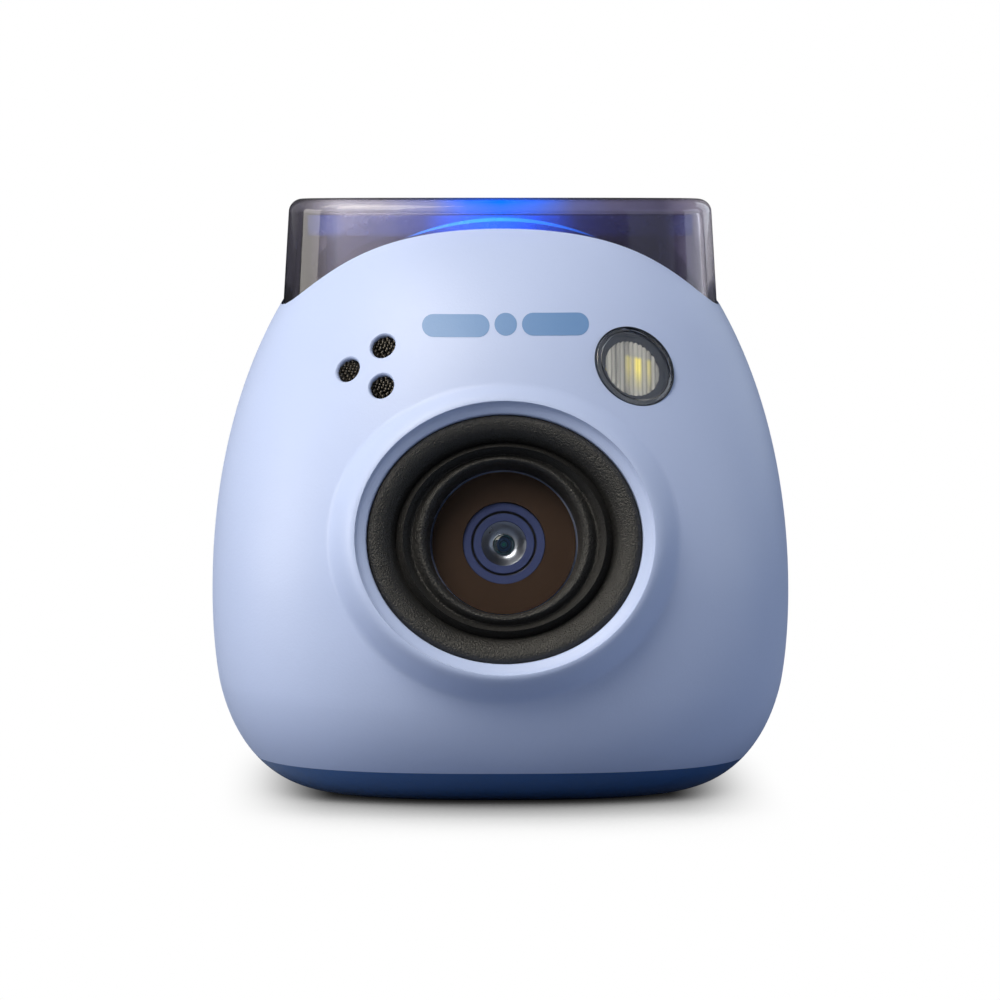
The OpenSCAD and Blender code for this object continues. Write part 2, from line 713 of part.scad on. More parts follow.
module battery() {
    color("#c9ccd2") in_place() {
        plate_facing_y(24, 19, 1.2, battery_y, 0, 20);
        plate_facing_y(20, 1, 0.3, [battery_y[0] + 1, battery_y[1] - 1], 0, 29.8);
    }
}

module battery_pad() {
    color("#3b3b3b") in_place() plate_facing_y(20, 16, 1, [battery_y[1] + 0.03, plate_y[0] - 0.03], 0, 20);
}

module battery_plug() {
    color("#ece7d8") in_place() box([-4.6, -1.4], [board_y - 2.2, board_y - 0.03], [28.2, 31]);
}

module battery_lead() {
    color("#b03030") in_place() wire_pair([
        [-3, 2.6, 30.65], [-3, 2.8, 31.7], [-3, 4.4, 32.6], [-3, plate_y[1], 32.8],
        [-3, board_y - 2, 32.5], [-3, board_y - 1.1, 31.4]
    ]);
}

// From a part behind the front shell, over the battery, to the main board's top edge
module front_lead(start, side) {
    color("#303236") in_place() wire_pair([
        start, start + [-side * 0.3, 1.6, 0.1], [side * (wire_x + 0.6), -3.2, 31.4], [side * wire_x, 1.6, 32.5],
        [side * wire_x, plate_y[1], 32.7], [side * wire_x, board_y - 1.8, 32.5], [side * wire_x, board_y - 0.4, 31.6]
    ]);
}

module speaker_lead() {
    front_lead(under_front(speaker_at, 5), -1);
}

module flash_lead() {
    front_lead(under_front(flash_at, 4.4), 1);
}

module led_lead() {
    color("#303236") in_place() wire_pair([
        [1.5, 3.4, 35.9], [1.5, 4.8, 34.9], [1.5, 6.2, 33.4], [1.5, 8.4, 33.1], [1.5, board_y - 1, 32.9],
        [1.5, board_y - 0.4, 32.2]
    ]);
}

module main_board() {
    color("#1f5a3a") in_place() difference() {
        union() {
            rod_y(14.5, [board_y, board_y + 1], 0, 20, $fn = 96);
            box([8, frame_x[0] - 0.1], [board_y, board_y + 1], [port_z - 6.6, port_z + 6.6]);
        }
        for (p = standoffs) rod_y(0.85, [board_y - 1, board_y + 2], p[0], p[1]);
    }
}

module board_chips() {
    rear = board_y + 1;
    color("#222326") in_place() {
        box([-11.5, -5], [rear, rear + 0.8], [14, 20.5]);
        box([-3.5, 3.5], [rear, rear + 0.7], [25, 29]);
        box([-10, -6.6], [rear, rear + 0.6], [22.4, 25.2]);
        box([5.4, 8.6], [rear, rear + 0.6], [22.6, 25.4]);
        for (k = [0 : 4]) box([-6 + k * 1.8, -5.2 + k * 1.8], [rear, rear + 0.35], [9.6, 10]);
        for (k = [0 : 3]) box([-11.4, -10.6], [rear, rear + 0.35], [9.6 + k * 0.9, 10 + k * 0.9]);
    }
}

module shield_can() {
    color("#c4c8cc") in_place() difference() {
        plate_facing_y(10, 9, 0.5, [board_y - 1.6, board_y - 0.03], -6.5, 20.5);
        plate_facing_y(9.6, 8.6, 0.3, [board_y - 1.4, board_y + 1], -6.5, 20.5);
    }
}

// ---- ports ----

// A rounded bar along X, centred on [y, z]
module bar_x(x, w, h, r, y, z) {
    translate([x[0], y, z]) rotate([90, 0, 90]) linear_extrude(x[1] - x[0]) round_rect(w, h, r);
}

module usb_connector() {
    color("#c4c8cc") in_place() {
        difference() {
            bar_x([10, 17.2], 3.2, 8.94, 1.55, usb_y, port_z);
            bar_x([11, 18], 2.56, 8.34, 1.25, usb_y, port_z);
        }
        bar_x([10.8, 16.6], 0.7, 6.7, 0.15, usb_y, port_z);
    }
}

module card_socket() {
    color("#c4c8cc") in_place() difference() {
        bar_x([4.4, frame_x[0] - 0.1], 1.5, 13, 0.2, card_y, port_z);
        bar_x([5.2, 17], 0.9, 11.3, 0.1, card_y, port_z);
    }
}

function rear_x(y, z, t) = half_w(z, t) * section(y, rear_d(z, t), rear_n);

// The wall behind the door, with a rim on three sides that meets the shell
module port_frame() {
    gap = wall + clear;
    z0 = door_z[0] - 2.2;
    z1 = door_z[1] + 2.2;
    y0 = plate_y[1] + thin;
    y1 = door_y[1] - 2.1;
    color("#23252a") in_place() difference() {
        union() {
            box(frame_x, [y0, door_y[1] - 0.95], [z0, z1]);
            translate([0, y0 + 0.9, 0]) rotate([90, 0, 0]) linear_extrude(0.9) polygon(concat(
                [[frame_x[0], z0]],
                [for (k = [0 : 6]) let (z = z0 + (z1 - z0) * k / 6) [rear_x(y0 + 0.9, z, gap), z]],
                [[frame_x[0], z1]]
            ));
            for (z = [z0, z1 - 0.9]) translate([0, 0, z]) linear_extrude(0.9) polygon(concat(
                [[frame_x[0], y0]],
                [for (k = [0 : 6])
                    let (y = y0 + (y1 - y0) * k / 6)
                    [min(rear_x(y, z, gap), rear_x(y, z + 0.9, gap)), y]],
                [[frame_x[0], y1]]
            ));
        }
        bar_x([15, 18], 3.4, 9.1, 1.65, usb_y, port_z);
        bar_x([15, 18], 1.1, 11.4, 0.2, card_y, port_z);
        // room for the heads of the chassis screws
        for (b = bosses) rod_y(1.6, [plate_y[1], plate_y[1] + 1.2], b[0], b[1]);
    }
}

// A patch of the rear shell's side between two depths and two heights
function door_ring(y, gap, skin) =
    let (n = 8, z0 = door_z[0] + gap, h = door_z[1] - door_z[0] - 2 * gap)
    concat(
        [for (k = [0 : n]) let (z = z0 + h * k / n) [rear_x(y, z, 0), y, z]],
        [for (k = [n : -1 : 0]) let (z = z0 + h * k / n) [rear_x(y, z, 0) - skin, y, z]]
    );

module port_cover() {
    n = 10;
    color("#b9c6e4") in_place() {
        loft([for (k = [0 : n]) door_ring(door_y[0] + clear + (door_y[1] - door_y[0] - 2 * clear) * k / n, clear, 1.1)], flip = true);
        // pin, which lies in the skin
        rod_z(0.3, [door_z[0] - 0.6, door_z[1] + 0.6], hinge_at);
    }
}

// ---- shutter ----

module shutter_button() {
    top = rear_reach - 0.45;
    color("#c6d2ea") in_place() turned_y(concat(
        [[0, top - 0.25], [0, top - 1.6], [0, well_y - 1.35], [3.15, well_y - 1.35], [3.15, top - 1.6]],
        [[button_r - 1, top - 1.6], [button_r - 1, well_y + 1.15], [trim_r - 0.1, well_y + 1.15], [trim_r - 0.1, well_y + 1.9]],
        [[button_r, well_y + 1.9], [button_r, top - 0.9]],
        [for (a = [30 : 30 : 90]) [button_r - 0.9 * (1 - cos(a)), top - 0.9 + 0.9 * sin(a)]],
        [[button_r * 0.6, top - 0.16]]
    ), button_z, $fn = 96);
}

module button_trim() {
    color("#c4c8cc") in_place() turned_y([
        [button_r + 0.1, well_y + 1.95], [trim_r, well_y + 1.95], [trim_r, rear_reach - 0.65], [trim_r + 0.3, rear_reach - 0.45],
        [trim_r + 0.1, rear_reach - 0.15], [trim_r - 0.25, rear_reach], [button_r + 0.3, rear_reach - 0.15],
        [button_r + 0.1, rear_reach - 0.5]
    ], button_z, $fn = 96);
}

module button_spring() {
    turns = 3.5;
    sides = 18;
    y0 = well_y + 0.3;
    rise = rear_reach - 2.05 - 0.3 - y0;
    color("#aeb3b9") in_place() tube([
        for (k = [0 : turns * sides])
            let (a = k * 360 / sides)
            [3.9 * cos(a), y0 + rise * k / (turns * sides), button_z + 3.9 * sin(a)]
    ], 0.25);
}

module shutter_switch() {
    color("#9a9ca0") in_place() difference() {
        box([-2.6, 2.6], [board_y + 1.02, board_y + 2.4], [button_z - 2.6, button_z + 2.6]);
        rod_y(1.56, [board_y + 1.2, board_y + 3], 0, button_z);
    }
}

module shutter_plunger() {
    color("#2b2b2e") in_place() rod_y(1.5, [board_y + 1.85, well_y - 1.4], 0, button_z);
}

// ---- screws ----

module board_screws() {
    color("#b8bcc4") in_place() for (p = standoffs) translate([p[0], board_y + 1.65, p[1]]) rotate([-90, 0, 0])
        screw(0.75, 5, 1.4, 0.6);
}

module chassis_screws() {
    color("#b8bcc4") in_place() for (b = bosses) translate([b[0], plate_y[1] + 0.65, b[1]]) rotate([-90, 0, 0])
        screw(0.75, 6, 1.4, 0.6);
}

front_shell();
rear_shell();
base_cover();
top_cover();
light_guide();
led_board();
status_leds();
lens_bezel();
cover_glass();
lens_mask();
lens_barrel();
front_element();
middle_element();
rear_element();
aperture_stop();
lens_holder();
infrared_filter();
image_sensor();
sensor_board();
sensor_flex();
flash_window();
flash_mask();
flash_reflector();
flash_led();
flash_board();
sound_mesh();
speaker();
speaker_gasket();
chassis();
battery();
battery_pad();
battery_plug();
battery_lead();
speaker_lead();
flash_lead();
led_lead();
main_board();
board_chips();
shield_can();
usb_connector();
card_socket();
port_frame();
port_cover();
shutter_button();
button_trim();
button_spring();
shutter_switch();
shutter_plunger();
power_button();
power_switch();
power_plunger();
mode_slider();
mode_lever();
mode_switch();
base_board();
tripod_socket();
board_screws();
chassis_screws();
base_screws();
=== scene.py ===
import math

import bpy
import numpy as np
from mathutils import Matrix, Vector


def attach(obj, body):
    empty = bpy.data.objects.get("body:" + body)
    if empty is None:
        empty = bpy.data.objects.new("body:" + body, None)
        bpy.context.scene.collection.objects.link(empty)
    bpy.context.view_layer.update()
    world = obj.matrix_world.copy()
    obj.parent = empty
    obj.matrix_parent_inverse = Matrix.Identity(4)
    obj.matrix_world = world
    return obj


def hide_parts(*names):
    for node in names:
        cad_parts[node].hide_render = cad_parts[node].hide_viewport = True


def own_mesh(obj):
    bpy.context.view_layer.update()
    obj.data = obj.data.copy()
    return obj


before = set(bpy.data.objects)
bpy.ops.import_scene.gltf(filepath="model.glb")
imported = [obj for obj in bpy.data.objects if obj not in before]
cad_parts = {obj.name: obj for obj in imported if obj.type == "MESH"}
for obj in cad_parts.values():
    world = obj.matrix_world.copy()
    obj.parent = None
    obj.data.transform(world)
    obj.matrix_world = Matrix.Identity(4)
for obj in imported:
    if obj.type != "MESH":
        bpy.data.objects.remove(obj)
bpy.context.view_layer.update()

# ---------------------------------------------------------------- sizes, in millimetres
BODY_W, BODY_H, BODY_D = 42.3, 43.0, 44.4
WALL = 1.4
SPLIT_Z = 2.4
LENS_Z = 19.4
TILT = math.radians(12)
LIP_A, LIP_B = 10.6, 9.55
CROWN_W, CROWN_D, CROWN_WALL = 30.9, 15.6, 0.95
CROWN_LOW = BODY_H - 9
CROWN_DRAFT = 0.06
CROWN_N = 3.0
BUTTON_Z, BUTTON_R = 18.0, 11.3
TRIM_R = BUTTON_R + 0.95
CLEAR = 0.15
FRONT_REACH = 22.05
REAR_REACH = BODY_D - FRONT_REACH
MID = (FRONT_REACH - REAR_REACH) / 2
FRONT_BULK, REAR_BULK = FRONT_REACH - 2.05, REAR_REACH - 0.2
WIDE_Z, DEEP_Z = 14.2, 13.0
SIDE_TOP, FRONT_TOP = BODY_H + 3.15, BODY_H + 0.1
FOOT_W, FOOT_FRONT, FOOT_REAR, FOOT_P = 13.0, 12.1, 12.6, 2.65
SIDE_P, FRONT_P, REAR_P, REAR_N = 2.1, 2.3, 3.2, 3.6
LIP_Y = LIP_B * math.tan(TILT) - FRONT_REACH + 0.172
RECESS, LEDGE, AXIS_UP = 4.0, 1.2, 0.15
WELL_Y = REAR_REACH - 5.7
BOARD_Y = WELL_Y - 4.5
DOOR_Y, DOOR_Z = (BOARD_Y - 4.5, BOARD_Y + 3.5), (9.0, 20.0)
HINGE = (18.65, DOOR_Y[1] - 0.7)
SOUND_HOLES = [(-11.1, 31.0), (-8.6, 32.7), (-8.7, 29.9)]
SOUND_R = 0.9
FLASH_AT, FLASH_R = (9.4, 31.3), 3.05
LIP_FALL, LIP_BLEND, LIP_BLEND_BY = 1.25, 2.6, 0.12
# the front's section exponent: its middle value, half its change, where the change starts, its length and its ease
FRONT_N, FRONT_N_BY, N_TOP, N_LENGTH, N_EASE = 2.35, 0.25, 31, 15, 0.12
POWER_AT, POWER_HOLE, SOCKET_HOLE = (9.4, 0), 1.75, 4.6
MODE_X, MODE_Y = (-10.4, -8.4), (-2.4, 2.4)
SCREW_X, SCREW_Y, SCREW_HOLE, SCREW_HEAD = 8.2, 6.8, 0.9, 1.6
POCKET_R, MESH_DEPTH = 1.3, 0.36
SHARP = 32.0  # degrees between two faces from which their edge is drawn sharp
MM = 0.001


# ---------------------------------------------------------------- the body's surface
def fall(t, p):
    return np.sqrt(np.maximum(0, 1 - np.abs(t) ** p))


def foot_fall(t, p):
    """Starts with the upper side's exponent and soon takes the foot's, so that no band shows between them."""
    t = np.clip(t, 0, 1)
    return fall(t, p + (FOOT_P - p) * np.clip(2.2 * t, 0, 1))


def half_w(z, t=0.0):
    a = BODY_W / 2
    upper = (a - t) * fall((z - WIDE_Z) / (SIDE_TOP - t - WIDE_Z), SIDE_P)
    lower = FOOT_W - t + (a - FOOT_W) * foot_fall((WIDE_Z - z) / WIDE_Z, SIDE_P)
    return np.where(z >= WIDE_Z, upper, lower)


def bulk(z, reach, foot, p, t):
    upper = (reach - t) * fall((z - DEEP_Z) / (FRONT_TOP - t - DEEP_Z), p)
    lower = foot - t + (reach - foot) * foot_fall((DEEP_Z - z) / DEEP_Z, min(p, FOOT_P))
    return np.where(z >= DEEP_Z, upper, lower)


def front_d(z, t=0.0):
    return bulk(z, FRONT_BULK, FOOT_FRONT, FRONT_P, t)


def rear_d(z, t=0.0):
    return bulk(z, REAR_BULK, FOOT_REAR, REAR_P, t)


def front_n(z):
    t = (N_TOP - z) / N_LENGTH
    return FRONT_N + FRONT_N_BY * (np.sqrt(t**2 + N_EASE**2) - np.sqrt((t - 1) ** 2 + N_EASE**2))


def section(x, half, n):
    q = np.minimum(1, np.abs(x) / np.maximum(half, 1e-6))
    return np.maximum(0, 1 - q**n) ** (1 / n)


def front_y(x, z, t=0.0):
    return -front_d(z, t) * section(x, half_w(z, t), front_n(z))


def rear_y(x, z, t=0.0):
    return rear_d(z, t) * section(x, half_w(z, t), REAR_N)


def rear_x(y, z):
    return half_w(z, 0.0) * section(y, rear_d(z, 0.0), REAR_N)


def oval_r(phi, a, b):
    return 1 / np.sqrt((np.cos(phi) / a) ** 2 + (np.sin(phi) / b) ** 2)


def lip_depth(x, z):
    """How far the front surface, with the lens lip blended in, stands in front of the parting plane."""
    body = -front_y(x, z)
    phi = np.arctan2(z - LENS_Z, x)
    out = np.maximum(0, np.hypot(x, z - LENS_Z) - oval_r(phi, LIP_A, LIP_B))
    lip = -LIP_Y - (z - LENS_Z) * math.tan(TILT) - LIP_FALL * out**2
    k = LIP_BLEND + (LENS_Z - z) * LIP_BLEND_BY
    return np.maximum(body, lip) + (np.maximum(k - np.abs(body - lip), 0) / k) ** 2 * k / 4


def front_face(x, z):
    return -lip_depth(x, z)


def crown_half_w(z, t=0.0):
    return CROWN_W / 2 + (BODY_H - z) * CROWN_DRAFT - t


def crown_half_d(z, t=0.0):
    return CROWN_D / 2 - (np.minimum(BODY_H, z) - 41) * CROWN_DRAFT - t


def in_crown(x, y, z):
    inside = (np.abs(x) / crown_half_w(z, -CLEAR)) ** CROWN_N + (np.abs(y) / crown_half_d(z, -CLEAR)) ** CROWN_N < 1
    return (z > CROWN_LOW - 3) & inside


def surface_y(front, x, z, t):
    return front_y(x, z, t) if front else rear_y(x, z, t)


def ray_end(front, z0, phi, t):
    low, high = np.full_like(phi, 5.0), np.full_like(phi, 30.0)
    for _ in range(40):
        r = (low + high) / 2
        x, z = r * np.cos(phi), z0 + r * np.sin(phi)
        on = (z > SPLIT_Z) & (np.abs(x) < half_w(z, t)) & ~in_crown(x, surface_y(front, x, z, t), z)
        low, high = np.where(on, r, low), np.where(on, high, r)
    return low


def crown_corner(t):
    low, high = 30.0, 40.0
    for _ in range(40):
        z = (low + high) / 2
        if half_w(z, t) > crown_half_w(z, -CLEAR):
            low = z
        else:
            high = z
    return low


def ray_angles(n, z0, t):
    """Angles of n rays, drawn together towards the shell's four corners."""
    top = crown_corner(t)
    a = math.atan2(top - z0, float(half_w(top, t)))
    b = math.atan2(z0 - SPLIT_Z, float(half_w(SPLIT_Z, t)))
    stops = [-b, a, math.pi - a, math.pi + b, 2 * math.pi - b]
    m = n // 4
    out = []
    for k in range(4):
        u = np.arange(m) / m
        u = 0.3 * u + 0.7 * (1 - np.cos(math.pi * u)) / 2
        out.append(stops[k] + (stops[k + 1] - stops[k]) * u)
    return np.concatenate(out)


def on_tilt(x, y, z):
    c, s = math.cos(TILT), math.sin(TILT)
    return np.stack([x, LIP_Y + y * c + z * s, LENS_Z - y * s + z * c], axis=-1)


def tilted_ring(phi, a, b, y, up=0.0):
    """An oval about the lens axis, parallel to the lens lip."""
    r = oval_r(phi, a, b / math.cos(TILT))
    return on_tilt(r * np.cos(phi), np.full(len(phi), float(y)), up + r * np.sin(phi))


def front_frame(at, depth=0.0, upright=False):
    """A matrix, in metres, whose Z is the front's outward normal. Y points up it, or lies in an upright plane."""
    x, z, h = at[0], at[1], 0.01
    y = float(front_y(x, z))
    gx, gz = (float(front_y(x + h, z)) - y) / h, (float(front_y(x, z + h)) - y) / h
    n = Vector((gx, -1, gz)).normalized()
    across = Vector((0, 0, 1)).cross(n).normalized()
    up = n.cross(across)
    if upright:
        up = Vector((0, n.z, -n.y)).normalized()
        across = up.cross(n)
    m = Matrix((across, up, n)).transposed().to_4x4()
    m.translation = (Vector((x, y + MID, z)) - n * depth) * MM
    return m


def lens_frame():
    """A matrix, in metres, whose Y runs back along the lens axis from the lip."""
    m = Matrix.Rotation(-TILT, 4, "X")
    up = m @ Vector((0, 0, AXIS_UP))
    m.translation = (Vector((0, LIP_Y + MID, LENS_Z)) + up) * MM
    return m


# ---------------------------------------------------------------- mesh helpers
def to_world(points):
    p = np.array(points, dtype=float)
    p[..., 1] += MID
    return p * MM


def new_object(name, verts, faces, smooth=SHARP, world=True):
    mesh = bpy.data.meshes.new(name)
    v = to_world(verts) if world else np.array(verts) * MM
    mesh.from_pydata([tuple(p) for p in v.reshape(-1, 3)], [], faces)
    mesh.update()
    mesh.polygons.foreach_set("use_smooth", [True] * len(mesh.polygons))
    if smooth:
        mesh.set_sharp_from_angle(angle=math.radians(smooth))
    obj = bpy.data.objects.new(name, mesh)
    bpy.context.scene.collection.objects.link(obj)
    return obj


def ring_faces(m, n, loop, flip):
    faces = []
    for i in range(m if loop else m - 1):
        for j in range(n):
            k = (j + 1) % n
            a, b = i * n + j, i * n + k
            c, d = (i + 1) % m * n + k, (i + 1) % m * n + j
            faces.append((a, b, c, d) if flip else (a, d, c, b))
    return faces


def loft(name, rings, loop=False, flip=False, smooth=SHARP, world=True):
    n, m = len(rings[0]), len(rings)
    faces = ring_faces(m, n, loop, flip)
    if not loop:
        first, last = list(range(n)), list(range((m - 1) * n, m * n))
        faces.append(tuple(first[::-1] if flip else first))
        faces.append(tuple(last if flip else last[::-1]))
    return new_object(name, np.array(rings), faces, smooth, world)


def lathe(name, profile, n, matrix, loop=False, smooth=SHARP):
    """Turned about local Z. The profile is a list of (radius, z)."""
    phi = np.arange(n) * 2 * math.pi / n
    rings = [np.stack([r * np.cos(phi), r * np.sin(phi), np.full(n, z)], axis=-1) for r, z in profile]
    obj = loft(name, rings, loop=loop, flip=True, smooth=smooth, world=False)
    obj.data.transform(matrix)
    return obj


def block(name, x, y, z):
    v = [(a, b, c) for a in x for b in y for c in z]
    f = [(0, 1, 3, 2), (4, 6, 7, 5), (0, 4, 5, 1), (2, 3, 7, 6), (0, 2, 6, 4), (1, 5, 7, 3)]
    return new_object(name, v, f, smooth=None)


def upright(name, r, z, at):
    """A cylinder along Z between two heights."""
    phi = np.arange(48) * 2 * math.pi / 48
    rings = [np.stack([at[0] + r * np.cos(phi), at[1] + r * np.sin(phi), np.full(48, h)], axis=-1) for h in z]
    return loft(name, rings, flip=True)


def discard(obj):
    mesh = obj.data
    bpy.data.objects.remove(obj)
    bpy.data.meshes.remove(mesh)


def join(name, parts):
    """One object with the faces of several, which it uses up."""
    verts, faces = [], []
    for o in parts:
        base = len(verts)
        verts += [tuple(v.co / MM) for v in o.data.vertices]
        faces += [tuple(base + k for k in p.vertices) for p in o.data.polygons]
        discard(o)
    return new_object(name, verts, faces, smooth=40.0, world=False)


def cut(obj, cutters):
    for c in cutters:
        mod = obj.modifiers.new("cut", "BOOLEAN")
        mod.operation = "DIFFERENCE"
        mod.solver = "EXACT"
        mod.object = c
    depsgraph = bpy.context.evaluated_depsgraph_get()
    mesh = bpy.data.meshes.new_from_object(obj.evaluated_get(depsgraph))
    obj.modifiers.clear()
    old = obj.data
    obj.data = mesh
    bpy.data.meshes.remove(old)
    for c in cutters:
        discard(c)
    mesh.polygons.foreach_set("use_smooth", [True] * len(mesh.polygons))
    mesh.set_sharp_from_angle(angle=math.radians(SHARP))
    return obj


def mesh_values(items, key, width=1, kind=float):
    out = np.empty(len(items) * width, dtype=kind)
    items.foreach_get(key, out)
    return out.reshape(-1, width) if width > 1 else out


def follow_surface(obj, height):
    """Takes the normals of the faces on y = height(x, z) from the formula, so that cut holes leave no marks."""
    mesh = obj.data
    co = mesh_values(mesh.vertices, "co", 3)[mesh_values(mesh.loops, "vertex_index", kind=np.int64)] / MM
    x, y, z = co[:, 0], co[:, 1] - MID, co[:, 2]
    h = 0.02
    gx = (height(x + h, z) - height(x - h, z)) / (2 * h)
    gz = (height(x, z + h) - height(x, z - h)) / (2 * h)
    sign = -1.0 if np.median(height(x, z)) < 0 else 1.0
    n = np.stack([-gx, np.ones_like(gx), -gz], axis=-1) * sign
    n /= np.linalg.norm(n, axis=1)[:, None]
    base = mesh_values(mesh.corner_normals, "vector", 3)
    corners = mesh_values(mesh.polygons, "loop_total", kind=np.int64)
    face_n = np.repeat(mesh_values(mesh.polygons, "normal", 3), corners, axis=0)
    on = (np.abs(y - height(x, z)) < 0.004 + 0.01 * np.hypot(gx, gz)) & ((face_n * n).sum(1) > 0.85)
    on &= np.isfinite(n).all(1) & (np.hypot(gx, gz) < 30)
    out = np.where(on[:, None], n, base)
    mesh.normals_split_custom_set([tuple(v) for v in out])


# ---------------------------------------------------------------- materials
def material(name):
    m = bpy.data.materials.new(name)
    m.use_nodes = True
    nt = m.node_tree
    return m, nt, nt.nodes["Principled BSDF"]


def noise(nt, scale, detail=3.0, rough=0.5, stretch=None):
    coord = nt.nodes.new("ShaderNodeTexCoord")
    tex = nt.nodes.new("ShaderNodeTexNoise")
    tex.inputs["Scale"].default_value = scale
    tex.inputs["Detail"].default_value = detail
    tex.inputs["Roughness"].default_value = rough
    if stretch:
        mapping = nt.nodes.new("ShaderNodeMapping")
        mapping.inputs["Scale"].default_value = stretch
        nt.links.new(coord.outputs["Object"], mapping.inputs["Vector"])
        nt.links.new(mapping.outputs["Vector"], tex.inputs["Vector"])
    else:
        nt.links.new(coord.outputs["Object"], tex.inputs["Vector"])
    return tex.outputs["Fac"]


def spread(nt, source, low, high):
    """Stretches a noise over a range of values."""
    node = nt.nodes.new("ShaderNodeMapRange")
    node.inputs["From Min"].default_value = 0.3
    node.inputs["From Max"].default_value = 0.7
    node.inputs["To Min"].default_value = low
    node.inputs["To Max"].default_value = high
    nt.links.new(source, node.inputs["Value"])
    return node.outputs["Result"]


def tinted(nt, source, color, amount):
    """A colour that a noise makes a little darker and lighter."""
    ramp = nt.nodes.new("ShaderNodeValToRGB")
    ramp.color_ramp.elements[0].position = 0.3
    ramp.color_ramp.elements[1].position = 0.7
    ramp.color_ramp.elements[0].color = tuple(c * (1 - amount) for c in color) + (1,)
    ramp.color_ramp.elements[1].color = tuple(min(1, c * (1 + amount)) for c in color) + (1,)
    nt.links.new(source, ramp.inputs["Fac"])
    return ramp.outputs["Color"]


def bumped(nt, bsdf, source, distance):
    bump = nt.nodes.new("ShaderNodeBump")
    bump.inputs["Distance"].default_value = distance
    bump.inputs["Strength"].default_value = 1.0
    nt.links.new(source, bump.inputs["Height"])
    nt.links.new(bump.outputs["Normal"], bsdf.inputs["Normal"])


def axis_reading(nt, origin, axis, low, high, clamp=True):
    """How far a point lies along an axis from an origin, as 0 to 1 between two limits in millimetres."""
    coord = nt.nodes.new("ShaderNodeTexCoord")
    sub = nt.nodes.new("ShaderNodeVectorMath")
    sub.operation = "SUBTRACT"
    sub.inputs[1].default_value = origin
    dot = nt.nodes.new("ShaderNodeVectorMath")
    dot.operation = "DOT_PRODUCT"
    dot.inputs[1].default_value = axis
    span = nt.nodes.new("ShaderNodeMapRange")
    span.clamp = clamp
    span.inputs["From Min"].default_value = low * MM
    span.inputs["From Max"].default_value = high * MM
    nt.links.new(coord.outputs["Object"], sub.inputs[0])
    nt.links.new(sub.outputs[0], dot.inputs[0])
    nt.links.new(dot.outputs["Value"], span.inputs["Value"])
    return span.outputs["Result"]


def ramp_of(nt, source, stops):
    """Colours or greys along a reading, from a list of (position, value)."""
    ramp = nt.nodes.new("ShaderNodeValToRGB")
    cr = ramp.color_ramp
    while len(cr.elements) < len(stops):
        cr.elements.new(0.5)
    for e, (pos, color) in zip(cr.elements, stops):
        e.position = pos
        e.color = (color if isinstance(color, tuple) else (color,) * 3) + (1,)
    nt.links.new(source, ramp.inputs["Fac"])
    return ramp.outputs["Color"]


def blend_colors(nt, kind, fac, a, b):
    mix = nt.nodes.new("ShaderNodeMix")
    mix.data_type = "RGBA"
    mix.blend_type = kind
    for socket, value in (("Factor", fac), ("A", a), ("B", b)):
        target = [i for i in mix.inputs if i.name == socket and i.enabled][0]
        if isinstance(value, (int, float, tuple)):
            target.default_value = value
        else:
            nt.links.new(value, target)
    return [o for o in mix.outputs if o.enabled][0]


def axis_radius(nt, frame_at, reach):
    """Distance from a turned part's axis, the frame's Y, as 0 to 1 at the reach in millimetres."""
    coord = nt.nodes.new("ShaderNodeTexCoord")
    sub = nt.nodes.new("ShaderNodeVectorMath")
    sub.operation = "SUBTRACT"
    sub.inputs[1].default_value = frame_at.translation
    cross = nt.nodes.new("ShaderNodeVectorMath")
    cross.operation = "CROSS_PRODUCT"
    cross.inputs[1].default_value = frame_at.to_3x3() @ Vector((0, 1, 0))
    size = nt.nodes.new("ShaderNodeVectorMath")
    size.operation = "LENGTH"
    scale = nt.nodes.new("ShaderNodeMath")
    scale.operation = "MULTIPLY"
    scale.inputs[1].default_value = 1 / (reach * MM)
    nt.links.new(coord.outputs["Object"], sub.inputs[0])
    nt.links.new(sub.outputs[0], cross.inputs[0])
    nt.links.new(cross.outputs[0], size.inputs[0])
    nt.links.new(size.outputs["Value"], scale.inputs[0])
    return scale.outputs[0]


def solid(name, color, rough, grain=2500.0, tint=0.04, rough_by=0.05, relief=0.0, metallic=0.0, coat=0.0,
          stretch=None, specular=0.5, detail=3.0):
    """An opaque material: broad noise tints it, and fine noise varies its roughness and relief."""
    m, nt, bsdf = material(name)
    fine = noise(nt, grain, detail, 0.6, stretch)
    broad = noise(nt, 90.0, 2.0)
    nt.links.new(tinted(nt, broad, color, tint), bsdf.inputs["Base Color"])
    nt.links.new(spread(nt, fine, max(0.02, rough - rough_by), min(1, rough + rough_by)), bsdf.inputs["Roughness"])
    bsdf.inputs["Metallic"].default_value = metallic
    bsdf.inputs["Coat Weight"].default_value = coat
    bsdf.inputs["Coat Roughness"].default_value = 0.08
    bsdf.inputs["Specular IOR Level"].default_value = specular
    if relief:
        bumped(nt, bsdf, fine, relief)
    return m


def clear(name, color, rough, ior=1.49, tint=0.05):
    """Clear plastic or glass."""
    m, nt, bsdf = material(name)
    bsdf.inputs["Transmission Weight"].default_value = 1.0
    bsdf.inputs["IOR"].default_value = ior
    nt.links.new(tinted(nt, noise(nt, 120.0, 2.0), color, tint), bsdf.inputs["Base Color"])
    nt.links.new(spread(nt, noise(nt, 700.0, 2.0), rough * 0.6, rough * 1.4), bsdf.inputs["Roughness"])
    return m


BODY = solid("body plastic", (0.49, 0.59, 0.9), 0.45, grain=5200.0, tint=0.012, rough_by=0.07, relief=0.000012,
             detail=4.0)
BASE = solid("navy base", (0.028, 0.11, 0.34), 0.3, grain=900.0, tint=0.03, rough_by=0.02, coat=0.4)
BEZEL = solid("bezel", (0.021, 0.021, 0.022), 0.38, grain=7500.0, tint=0.12, rough_by=0.08, relief=0.00014,
              detail=2.0)


